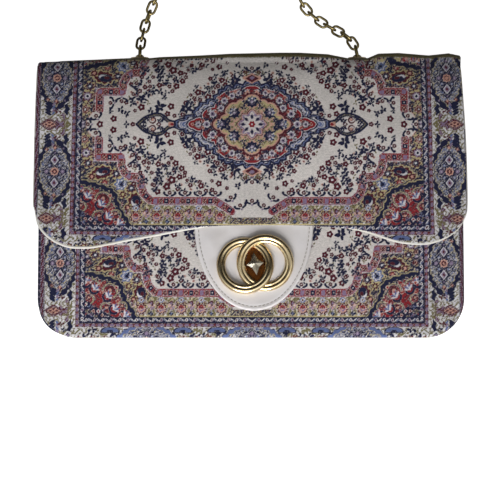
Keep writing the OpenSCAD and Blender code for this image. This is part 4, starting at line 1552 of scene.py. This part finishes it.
@dataclass
class Flap:
    """The flap: its tapestry with the strip that runs over the fold, its lining and its piping.

    Lengths are in millimetres on the front's plane: x across, and t up the slope from the hinge line.
    """

    materials: Materials
    fold: Fold = Fold()
    hem: Points = ((-137.9, 0), (-139, -50), (-139.4, -88), (-138.4, -94.6), (-136.8, -101), (-134.2, -106.4),
                   (-129.2, -112), (-122.2, -116.3), (-115.1, -118.6), (-108.1, -118.9), (-101, -118.6),
                   (-93.9, -117.2), (-86.9, -115.8), (-79.9, -114.3), (-65.8, -111.7), (-51.7, -109.3),
                   (-37.6, -107.2), (-24, -105.4), (-8, -104.8), (16, -104.6), (32, -104.8), (46, -105.4),
                   (60, -106.4), (71.8, -108), (82, -110.5), (89.2, -113.1), (96.5, -115.2), (103.7, -116.3),
                   (111, -116.7), (118.2, -115.9), (125.5, -113.8), (131.3, -110.8), (136.4, -106.4),
                   (140, -99.9), (142, -90), (141.2, -50), (138.5, 0))
    strip: Points = ((139, 9), (139, 16), (138.6, 24), (137, 35), (-137, 35), (-135.5, 24), (-134.6, 16),
                     (-136.4, 8))
    eyelets: tuple[float, float] = (-71.5, 71.5)
    eyelet_t: float = 15.4
    eyelet_hole: float = 5.3
    waves: Waves = Waves((0.28, 74, 0.4), (0.14, 31, 1.9))
    raised_corner: tuple[float, float] = (-128, -108)
    length: float = 120
    cloth_step: float = 0.63
    strip_end: float = 35
    strip_step: float = 1.3
    cloth_round: float = 0.9
    lining_low: float = 2.35  # heights above the front panel
    lining_high: float = 3.3
    piping_height: float = 3.15
    piping_radius: float = 0.95
    piping_points: int = 420
    pattern_x: float = 2.275  # the medallion's middle
    pattern_t: float = 59.5  # the medallion's middle, in knots below the hinge line
    knot_down: float = 0.655
    spread: float = 0.018  # how much wider the cloth lies at the hem than at the fold
    # painted shade on the top fold: it starts at this world y, in millimetres, and runs over this span of t
    painted_shade_y: float = 89.1
    painted_shade_run: tuple[float, float] = (1, 8.8)

    def __post_init__(self) -> None:
        """Draws the hem's line."""
        self.hem_line = catmull_rom(self.hem, 4)

    def relief(self, x: Array, t: Array) -> Array:
        """Height of the flap's soft waves, its raised corner and its fuller middle over its plane.

        Args:
            x: places across.
            t: places up the slope.

        Returns:
            The heights, in metres.
        """
        waves = smooth_step(0, 30, -t) * self.waves.height(x, t)
        corner = 2.6 * smooth_step(60, 0, np.hypot(x - self.raised_corner[0], t - self.raised_corner[1]))
        pillow = 3.0 * (1 - np.exp(np.minimum(t, 0) / 9)) * smooth_step(-84, -38, t)
        return (waves + corner + pillow) * MM

    def cloth(self) -> Piece:
        """The flap's tapestry with the strip that runs over the top fold and onto the back."""
        edge = polygon_distance(np.vstack([self.hem_line, self.strip]))

        def pierced(x: Array, t: Array) -> Array:
            """Signed distance to the cloth's outline and to the eyelets' holes."""
            away = edge(x, t)
            for middle in self.eyelets:
                away = np.maximum(away, self.eyelet_hole - np.hypot(x - middle, t - self.eyelet_t))
            return away

        rows = np.concatenate([grid(-self.length, 0, self.cloth_step),
                               grid(0, self.strip_end, self.strip_step)[1:]])
        patch = Patch.cut(grid(-143, 143, self.cloth_step), rows, pierced)
        x, t = patch.x, patch.y
        drop = rolled(patch.depth, self.cloth_round)
        run = np.maximum(t, 0) * MM
        front = FRONT.world(x * MM, t * MM, FRONT.flap_face + self.relief(x, t) + drop)
        back = self.fold.place(x * MM, run, self.fold.bulge(x, t) + drop)
        shape = Shape()
        shape.add(np.where((t < 0)[:, None], front, back), patch.faces)
        piece = shape.make("tapestry_wrap")
        wide = x * (1 + self.spread * t / 116) - self.pattern_x
        carpet = Carpet(wide / KNOT, -t / self.knot_down - self.pattern_t)
        # Painted shade: a dark khaki line on the fold's turn, where the cloth faces away from the lamps, laid
        # as yarn over the pattern
        painted_shade_gap = (self.painted_shade_y * MM - self.fold.place(x * MM, run, 0 * x)[:, 1]) / (KNOT * MM)
        low, high = self.painted_shade_run
        carpet.lay(KHAKI, np.maximum(painted_shade_gap, np.maximum(t - high, low - t)))
        store_yarns(piece, carpet.fields, np.column_stack([x, t]))
        dress(piece, self.materials, Surface.TAPESTRY, "tapestry", "flap_cover")
        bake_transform(piece)
        return piece

    def lining(self) -> Piece:
        """The flap's cream lining, which shows as a pale line under its edge and when it is open."""
        inset = self.hem_line + unit([0.0, -55.0] - self.hem_line) * 1.2
        patch = Patch.cut(grid(-142, 142, 2.2), grid(-self.length, -0.9, 2.0), polygon_distance(inset))
        relief = self.relief(patch.x, patch.y)
        high, low = (FRONT.world(patch.x * MM, patch.y * MM, height * MM + relief)
                     for height in (self.lining_high, self.lining_low))
        shape = Shape()
        plate(shape, patch, high, low)
        piece = shape.make("flap_inner", 40)
        return dress(piece, self.materials, Surface.TRIM, "cream_vinyl", "flap_lining", body="flap")

    def piping(self) -> Piece:
        """Piping along the flap's hem, which sinks under the cloth where the photograph hides it."""
        runs = run_lengths(self.hem_line)
        distance = np.linspace(2.5, runs[-1] - 2.5, self.piping_points)
        x, t = (np.interp(distance, runs, self.hem_line[:, axis]) for axis in (0, 1))
        ahead = unit(np.column_stack([np.gradient(x), np.gradient(t)]))
        shown = np.interp(x, (-60, -25, 64, 84, 118, 132), (1, -0.2, -0.2, 0.6, 0.6, 0.1))
        shown = shown * smooth_step(-96, -108, t)
        out = 0.35 * shown - 0.75 * (1 - shown)
        x, t = x + ahead[:, 1] * out, t - ahead[:, 0] * out
        middle = FRONT.world(x * MM, t * MM, self.piping_height * MM + self.relief(x, t))
        shape = Shape()
        shape.tube(middle, np.full(len(x), self.piping_radius * MM), 10)
        piece = shape.make("flap_binding")
        return dress(piece, self.materials, Surface.TRIM, "cream_vinyl", "flap_piping", body="flap")

    def build(self) -> list[Piece]:
        """Makes the flap's soft pieces."""
        return [self.cloth(), self.lining(), self.piping()]


@dataclass(frozen=True)
class Outline:
    """A panel's straight sides with rounded bottom corners, in millimetres."""

    left: float
    right: float
    low: float
    corner: float

    def edge(self, top: float) -> Distance:
        """Signed distance to the outline.

        Args:
            top: the y of its upper side.

        Returns:
            A function of x and y.
        """
        middle, half = (self.left + self.right) / 2, (self.right - self.left) / 2

        def distance(x: Array, y: Array) -> Array:
            """The distance at each place."""
            over_x = np.abs(x - middle) - half + self.corner
            over_y = self.low + self.corner - y
            rounded = np.hypot(np.maximum(over_x, 0), np.maximum(over_y, 0)) - self.corner
            low_part = np.maximum(rounded, np.maximum(over_x, over_y) - self.corner)
            return np.maximum(np.where(over_y > 0, low_part, over_x - self.corner), y - top)

        return distance

    def path(self, top: float, step: float, turns: int, bottom_step: float = 0.0) -> Array:
        """The line down the left side, along the bottom and up the right side.

        Args:
            top: the y of its ends.
            step: space between its points on the sides.
            turns: how many points a corner has.
            bottom_step: space between its points along the bottom; 0 adds none.

        Returns:
            The points, one a row.
        """
        across = self.left + self.corner - self.corner * np.cos(np.linspace(0, np.pi / 2, turns))
        down = self.low + self.corner - self.corner * np.sin(np.linspace(0, np.pi / 2, turns))
        corner = np.column_stack([across, down])
        start = self.low + self.corner
        left, right = grid(top, start, step)[:-1], grid(start, top, step)[1:]
        parts = [np.column_stack([0 * left + self.left, left]), corner]
        if bottom_step:
            bottom = grid(self.left + self.corner, self.right - self.corner, bottom_step)[1:-1]
            parts.append(np.column_stack([bottom, 0 * bottom + self.low]))
        mirrored = corner[::-1] * [-1, 1] + [self.left + self.right, 0]
        return np.vstack([*parts, mirrored, np.column_stack([0 * right + self.right, right])])


@dataclass
class Body:
    """The body: tapestry front, back and gusset. Its lengths are in millimetres."""

    materials: Materials
    fold: Fold = Fold()
    mouth_drop: float = 25.4  # from the hinge line down to the front panel's upper edge
    cloth: float = 1.6  # thickness of the stiffened cloth
    front_outline: Outline = Outline(-136.4, 139.6, -92.2, 25.5)
    back_outline: Outline = Outline(-136.6, 136.6, -91, 20)
    gusset_outline: Outline = Outline(-135.6, 138, -90.8, 20)
    back_top: float = 84.4
    front_waves: Waves = Waves((0.3, 88, 2.2), (0.12, 33, 0.7))
    lock_at: tuple[float, float] = (4.3, -45)
    front_round: float = 2.0
    back_round: float = 1.5
    pattern_x: float = 2.275
    pattern_y: float = 21.3  # the front pattern's middle, in knots above the frame's origin
    squeeze: float = 0.965  # the front pattern's width to the flap's
    front_frame: float = 177.6  # knots from the front pattern's middle to its frame
    gusset_width: float = 38.0
    gusset_rows: int = 33
    crease: tuple[float, float] = (0.7, 3.2)  # at the bottom, and more of it at the sides

    @property
    def hinge_y(self) -> float:
        """The hinge line's y."""
        return FRONT.hinge[0] / MM

    @property
    def mouth_y(self) -> float:
        """The y of the front panel's upper edge."""
        return self.hinge_y - self.mouth_drop

    def front(self) -> Piece:
        """The tapestry front of the body."""
        edge = self.front_outline.edge(self.mouth_y)
        rows = np.concatenate([grid(-94, -14, 0.7), grid(-14, self.mouth_y, 1.5)[1:]])
        patch = Patch.cut(grid(-138, 141, 0.7), rows, edge)
        x, y = patch.x, patch.y
        calm = smooth_step(24, 44, np.hypot(x - self.lock_at[0], y - self.lock_at[1]))
        waves = self.front_waves.height(x, y) * smooth_step(0, 14, patch.depth) * calm
        under = Patch.cut(grid(-138, 141, 3), grid(-94, self.mouth_y, 3), edge)
        cosine, sine = math.cos(FRONT.slope), math.sin(FRONT.slope)
        shape = Shape()
        for part, out, faces in ((patch, rolled(patch.depth, self.front_round) + waves * MM, patch.faces),
                                 (under, -self.cloth * MM + 0 * under.x, [f[::-1] for f in under.faces])):
            height = FRONT.height(part.y * MM)
            shape.add(np.column_stack([part.x * MM, part.y * MM + out * sine, height + out * cosine]), faces)
        piece = shape.make("front_cloth")
        all_x, all_y = np.concatenate([x, under.x]), np.concatenate([y, under.y])
        carpet = Carpet((all_x - self.pattern_x) / (KNOT * self.squeeze), all_y / KNOT + self.pattern_y,
                        self.front_frame)
        store_yarns(piece, carpet.fields, np.column_stack([all_x, all_y]))
        return dress(piece, self.materials, Surface.TAPESTRY, "tapestry", "front_panel", body="bag")

    def back(self) -> Piece:
        """The tapestry back, with the stiff layer inside the top fold."""
        edge = self.back_outline.edge(self.back_top)
        patch, inner = (Patch.cut(grid(-138, 138, step), grid(-92, self.back_top, step), edge)
                        for step in (1.15, 4))
        drop = rolled(np.where(patch.y > 70, 9.0, patch.depth), self.back_round)
        shape = Shape()
        shape.add(tray(patch.x, patch.y, 0.1 * MM - drop), [f[::-1] for f in patch.faces])
        shape.add(tray(inner.x, inner.y, self.cloth * MM), inner.faces)
        across = grid(-134.4, 136.6, 3.0)
        outer, inside = [], []
        for run in np.linspace(0.4, 37, 34):
            at = np.full(across.size, run)
            bulge = self.fold.bulge(across, at)
            for rows, depth in ((outer, 0.3), (inside, self.cloth)):
                rows.append(self.fold.place(across * MM, at * MM, bulge - depth * MM))
        shape.strip(outer + inside[::-1] + outer[:1])
        for column in (0, -1):
            side = [np.stack([a[column], b[column]]) for a, b in zip(outer, inside)]
            shape.strip(side if column else [s[::-1] for s in side])
        piece = shape.make("back_cloth")
        places = np.vstack(shape.points) / MM
        fields = Carpet(places[:, 0] / KNOT, places[:, 1] / KNOT).fields
        fields[:, patch.x.size:] = OFF
        store_yarns(piece, fields, places[:, :2])
        return dress(piece, self.materials, Surface.TAPESTRY, "tapestry", "back_panel", body="bag")

    def wall_top(self, y: Array, gap: float, at_hinge: float) -> Array:
        """Height of a side wall, which falls from the mouth to the hinge line.

        Args:
            y: places along the bag.
            gap: how far the wall ends below the front's face.
            at_hinge: the height at the hinge line.

        Returns:
            The heights, in metres.
        """
        mouth = float(FRONT.height(np.array(self.mouth_y * MM))) - gap * MM
        share = np.clip((y - self.mouth_y) / (self.hinge_y - self.mouth_y), 0, 1)
        return np.where(y > self.mouth_y, mouth + (at_hinge * MM - mouth) * share,
                        FRONT.height(y * MM) - gap * MM)

    def gusset(self) -> Piece:
        """The strip down one side, along the bottom and up the other side, with its soft inward crease."""
        path = self.gusset_outline.path(84.3, 1.1, 31, 1.1)
        runs = run_lengths(path)
        ahead = unit(np.gradient(path, axis=0))
        inward = np.column_stack([-ahead[:, 1], ahead[:, 0]])
        high = self.wall_top(path[:, 1], 1.5, 12)
        side = smooth_step(4, 40, path[:, 1] - self.gusset_outline.low)
        shares = np.linspace(0, 1, self.gusset_rows)
        rows, stored = [], []
        for face, order in ((0.0, shares), (self.cloth, shares[::-1])):
            for share in order:
                arch = math.sin(math.pi * share)
                crease = arch ** 2 * (self.crease[0] + self.crease[1] * side)
                wave = 0.35 * arch * ripple(path.sum(1), runs, 70, 1.1)
                shifted = path + (crease + wave + face)[:, None] * inward
                rows.append(tray(shifted[:, 0], shifted[:, 1], 1.5 * MM + (high - 1.5 * MM) * share))
                stored.append(np.column_stack([runs, share * self.gusset_width + 0 * runs]))
        shape = Shape()
        shape.strip(np.array(rows + rows[:1]).transpose(1, 0, 2)[::-1], ends=True)
        piece = shape.make("gusset_cloth", 50)
        flat = np.array(stored + stored[:1]).transpose(1, 0, 2)[::-1].reshape(-1, 2)
        loom = Loom(flat[:, 0] / KNOT, np.abs(flat[:, 1] - self.gusset_width / 2) / KNOT)
        loom.lay(NAVY, 0 * loom.a - 2)
        loom.lay(MAROON, loom.b - 20)
        loom.lay(MAUVE, np.hypot(np.mod(loom.a, 7) - 3.5, loom.b - 16) - 1.8)
        loom.lay(CREAM, loom.b - 11)
        loom.layers(np.hypot(np.mod(loom.a, 14) - 7, loom.b), ALL, (MAROON, 4.4), (PEACH, 2.4))
        loom.lay(NAVY, oval(np.mod(loom.a + 7, 14) - 7, loom.b, 1.6, 6))
        store_yarns(piece, loom.fields, flat)
        return dress(piece, self.materials, Surface.TAPESTRY, "tapestry", "gusset", body="bag")

    def build(self) -> list[Piece]:
        """Makes the body's soft pieces."""
        return [self.front(), self.back(), self.gusset()]


@dataclass
class Tab:
    """The leather tab with its almond opening and its stitches, in millimetres on the front's plane."""

    materials: Materials
    middle: float = 3.5
    half: float = 38.5
    length: float = 56.0
    tuck: float = 14.0  # how far it reaches up under the flap
    edge_at: float = -104.0
    lock: tuple[float, float] = (4.3, -130.0)
    lean: float = 8.0
    rounds_apart: float = 6.5  # half the space between the two rounds that make the opening
    rounds_radius: float = 12.8
    opening_grow: float = 2.2
    mesh_step: float = 0.75
    waves: Waves = Waves((0.22, 46, 0.9), (0.1, 19, 2.6))
    face: float = 2.05  # heights above the front panel
    under: float = 0.95
    seam_inset: float = 2.6
    seam_height: float = 1.72
    stitch_pitch: float = 2.7
    stitch_length: float = 2.0
    stitch_points: int = 6

    def opening(self, x: Array, y: Array) -> Array:
        """Signed distance to the opening, where two rounds overlap."""
        turn = math.radians(self.lean)
        x, y = x - self.lock[0], y - self.lock[1]
        u, v = x * math.cos(turn) + y * math.sin(turn), y * math.cos(turn) - x * math.sin(turn)
        rounds = np.maximum(np.hypot(u - self.rounds_apart, v), np.hypot(u + self.rounds_apart, v))
        return rounds - self.rounds_radius - self.opening_grow

    def outside(self, x: Array, y: Array) -> Array:
        """Signed distance to the tab's outer edge."""
        below = oval(x - self.middle, np.minimum(y - self.edge_at, 0), self.half, self.length)
        return np.maximum(below, y - self.edge_at - self.tuck)

    @staticmethod
    def low_end(y: Array) -> Array:
        """How far the tab's low end stands off the front."""
        return 0.7 * smooth_step(-148, -160, y)

    def leather(self) -> Piece:
        """The tab itself."""
        patch = Patch.cut(grid(-36, 43, self.mesh_step), grid(-161, -89, self.mesh_step),
                          lambda x, y: np.maximum(self.outside(x, y), -self.opening(x, y)))
        x, y = patch.x, patch.y
        calm = smooth_step(19, 32, np.hypot(x - self.lock[0], (y - self.lock[1]) * 1.2))
        groove = 0.35 * np.exp(-((-self.outside(x, y) - self.seam_inset) / 0.55) ** 2)
        face = self.face + self.waves.height(x, y) * calm - groove + self.low_end(y)
        high = FRONT.world(x * MM, y * MM, face * MM + rolled(patch.depth, 0.9))
        shape = Shape()
        plate(shape, patch, high, FRONT.world(x * MM, y * MM, (self.under + 0 * x) * MM))
        piece = shape.make("tab_leather", 50)
        return dress(piece, self.materials, Surface.TAB, "cream_vinyl", "lock_tab", body="flap")

    def stitches(self) -> Piece:
        """Stitches along the tab's edge."""
        turn = np.radians(np.linspace(180, 360, 400))
        line = np.column_stack([self.middle + (self.half - self.seam_inset) * np.cos(turn),
                                self.edge_at + (self.length - self.seam_inset) * np.sin(turn)])
        runs = run_lengths(line)
        arch = np.sin(np.linspace(0, np.pi, self.stitch_points))
        shape = Shape()
        for start in np.arange(0.6, runs[-1] - self.stitch_length, self.stitch_pitch):
            along = start + np.linspace(0, self.stitch_length, self.stitch_points)
            x, y = (np.interp(along, runs, line[:, axis]) for axis in (0, 1))
            height = self.seam_height + self.waves.height(x, y) + self.low_end(y) + 0.3 * arch
            shape.tube(FRONT.world(x * MM, y * MM, height * MM), (0.1 + 0.16 * arch) * MM, 6)
        return dress(shape.make("tab_stitches"), self.materials, Surface.THREAD, "cream_vinyl", body="flap")

    def build(self) -> list[Piece]:
        """Makes the tab's pieces."""
        return [self.leather(), self.stitches()]


@dataclass
class Pouch:
    """The inner bag, open at the mouth, with its turned hems. Its lengths are in millimetres."""

    materials: Materials
    body: Body
    outline: Outline = Outline(-133.6, 133.6, -87.6, 16.6)
    gap: float = 3.35  # from the outside of a panel to the inner bag
    cloth: float = 0.8

    def build(self) -> list[Piece]:
        """Makes the inner bag: back, front, wall and the two hems."""
        outline, gap, mouth_y = self.outline, self.gap, self.body.mouth_y
        top_y = self.body.hinge_y - 0.5
        across = grid(-136, 136, 3)
        shape = Shape()
        back = Patch.cut(across, grid(-92, top_y, 3), outline.edge(top_y))
        floor = tray(back.x, back.y, gap * MM)
        soft = 0.6 + 0.5 * 0.25 * ripple(back.x, back.y, 60, 0.3)
        plate(shape, back, floor + tray(0 * soft, 0 * soft, soft * MM), floor)
        front = Patch.cut(across, grid(-92, mouth_y, 3), outline.edge(mouth_y))
        ceiling = tray(front.x, front.y, FRONT.height(front.y * MM) - gap * MM)
        plate(shape, front, ceiling, ceiling - [0, 0, 0.7 * MM])
        left_half = outline.path(top_y, 4, 13)
        left_half = left_half[left_half[:, 0] < 0]
        path = np.vstack([left_half, left_half[::-1] * [-1, 1]])
        top = self.body.wall_top(path[:, 1], gap, 11)
        inner = path + unit([0.0, -5.0] - path) * self.cloth
        corners = ((path, gap * MM), (path, top), (inner, top), (inner, gap * MM))
        walls = [tray(p[:, 0], p[:, 1], z) for p, z in corners]
        shape.strip(np.array(walls + walls[:1]).transpose(1, 0, 2), ends=True)
        hem_x = grid(-98, 98, 4)
        for y, thick, on_back in ((mouth_y - 5, 1.2, False), (self.body.hinge_y - 4.4, 1.5, True)):
            rows = []
            for u, v in ((-3.6, 0.0), (3.6, 0.0), (3.6, thick), (-3.6, thick), (-3.6, 0.0)):
                z = (2.0 + v) * MM if on_back else FRONT.height((y + u) * MM) - (3.2 - v) * MM
                rows.append(tray(hem_x, y + u + 0 * hem_x, z))
            shape.strip(np.array(rows).transpose(1, 0, 2), ends=True)
        piece = shape.make("inner_pouch", 40)
        return [dress(piece, self.materials, Surface.POUCH, "lining", "lining", body="bag")]


@dataclass
class Metals:
    """The CAD's metal pieces: the lock, the eyelets with their washers, and the chain's end rings."""

    materials: Materials
    plates: tuple[tuple[Surface, tuple[str, ...]], ...] = (
        (Surface.GOLD, ("lock_rings", "lock_backing", "post_washer", "eyelet_left", "eyelet_right",
                        "eyelet_washer_left", "eyelet_washer_right")),
        (Surface.DARK_GOLD, ("lock_plate",)),
        (Surface.PALE_GOLD, ("turn_knob",)),
        (Surface.CHAIN_GOLD, ("chain_ring_left", "chain_ring_right")))

    def build(self) -> list[Piece]:
        """Gives each piece its plate."""
        dressed = []
        for surface, names in self.plates:
            for name in names:
                piece = bpy.data.objects[name]
                self.materials.use(piece, surface)
                dressed.append(piece)
        return dressed


@dataclass(frozen=True)
class Studio:
    """The camera, the white room, the lamps and the white table, in metres."""

    eye: tuple[float, float, float] = (0.001, -0.03575, 1.5)
    lens: float = 162.8  # in millimetres, on a sensor 36 mm wide
    table_half: float = 3.0
    table_z: float = -0.0003
    table_grey: float = 0.42

    def camera(self) -> None:
        """Looks straight down on the bag, as the photograph does."""
        data = bpy.data.cameras.new("camera")
        data.sensor_width = 36
        data.lens = self.lens
        eye = bpy.data.objects.new("camera", data)
        eye.location = self.eye
        bpy.context.scene.collection.objects.link(eye)
        bpy.context.scene.camera = eye

    def lamp(self, name: str, place: tuple[float, float, float], size: float, power: float) -> None:
        """Adds a soft square lamp that points at the frame's origin.

        Args:
            name: its name.
            place: where it stands.
            size: length of its sides.
            power: in watts.
        """
        data = bpy.data.lights.new(name, "AREA")
        data.size, data.energy = size, power
        light = bpy.data.objects.new(name, data)
        light.location = place
        ahead = -np.array(place)
        light.rotation_euler = (math.acos(-ahead[2] / np.linalg.norm(ahead)), 0,
                                math.atan2(ahead[1], ahead[0]) - math.pi / 2)
        bpy.context.scene.collection.objects.link(light)

    def room(self) -> None:
        """A white room: soft for the cloth, with light and dark parts for the metal to mirror."""
        room = bpy.data.worlds.new("room")
        room.use_nodes = True
        bpy.context.scene.world = room
        nodes = Nodes(room.node_tree)
        parts = nodes.add("SeparateXYZ", None, i0=nodes.add("TexCoord").outputs["Generated"])
        bright = nodes.remap(parts.outputs[1], -0.5, 0.35, 1.15, 0.05)
        soft = nodes.remap(parts.outputs[1], -0.7, 0.45, 0.54, 0.05)
        upper = nodes.remap(parts.outputs[2], 0.1, 0.9, 0.25, 1.0)
        rays = nodes.add("LightPath")
        mirrored = nodes.grey(nodes.math("MULTIPLY", bright, upper))
        seen = nodes.mix(rays.outputs["Is Glossy Ray"], nodes.grey(soft), mirrored)
        nodes.put(room.node_tree.nodes["Background"], Strength=1.0,
                  Color=nodes.mix(rays.outputs["Is Camera Ray"], seen, (1, 1, 1, 1)))

    def table(self) -> None:
        """A white table, bright enough to burn out and still hold a soft shadow."""
        shape = Shape()
        half, z, grey = self.table_half, self.table_z, self.table_grey
        shape.add(np.array([(-half, -half, z), (half, -half, z), (half, half, z), (-half, half, z)]),
                  [[0, 1, 2, 3]])
        piece = shape.make("table")
        material, nodes, shader = shaded(Finish("table", roughness=0.9, specular=0.1))
        rays = nodes.add("LightPath")
        nodes.put(shader, Base_Color=(grey, grey, grey, 1), Emission_Color=(1, 1, 1, 1),
                  Emission_Strength=nodes.remap(rays.outputs["Is Camera Ray"], 0, 1, 0.1, 1.0))
        piece.data.materials.append(material)

    def build(self) -> None:
        """Sets up the whole studio."""
        bpy.context.scene.view_settings.view_transform = "Standard"
        self.camera()
        self.room()
        self.table()
        self.lamp("key", (-0.05, -0.39, 0.38), 0.3, 2.75)
        self.lamp("fill", (0.5, -0.3, 1.2), 0.9, 1.2)


def main() -> None:
    """Builds the whole scene and reports each piece."""
    logging.basicConfig(level=logging.INFO, format="%(name)s: %(message)s")
    materials = Materials()
    body = Body(materials)
    for part in (Chain(materials), Flap(materials), body, Tab(materials), Pouch(materials, body),
                 Metals(materials)):
        for piece in part.build():
            LOG.info("%s: %d faces", piece.name, len(piece.data.polygons))
    Studio().build()


if __name__ == "__main__":
    main()
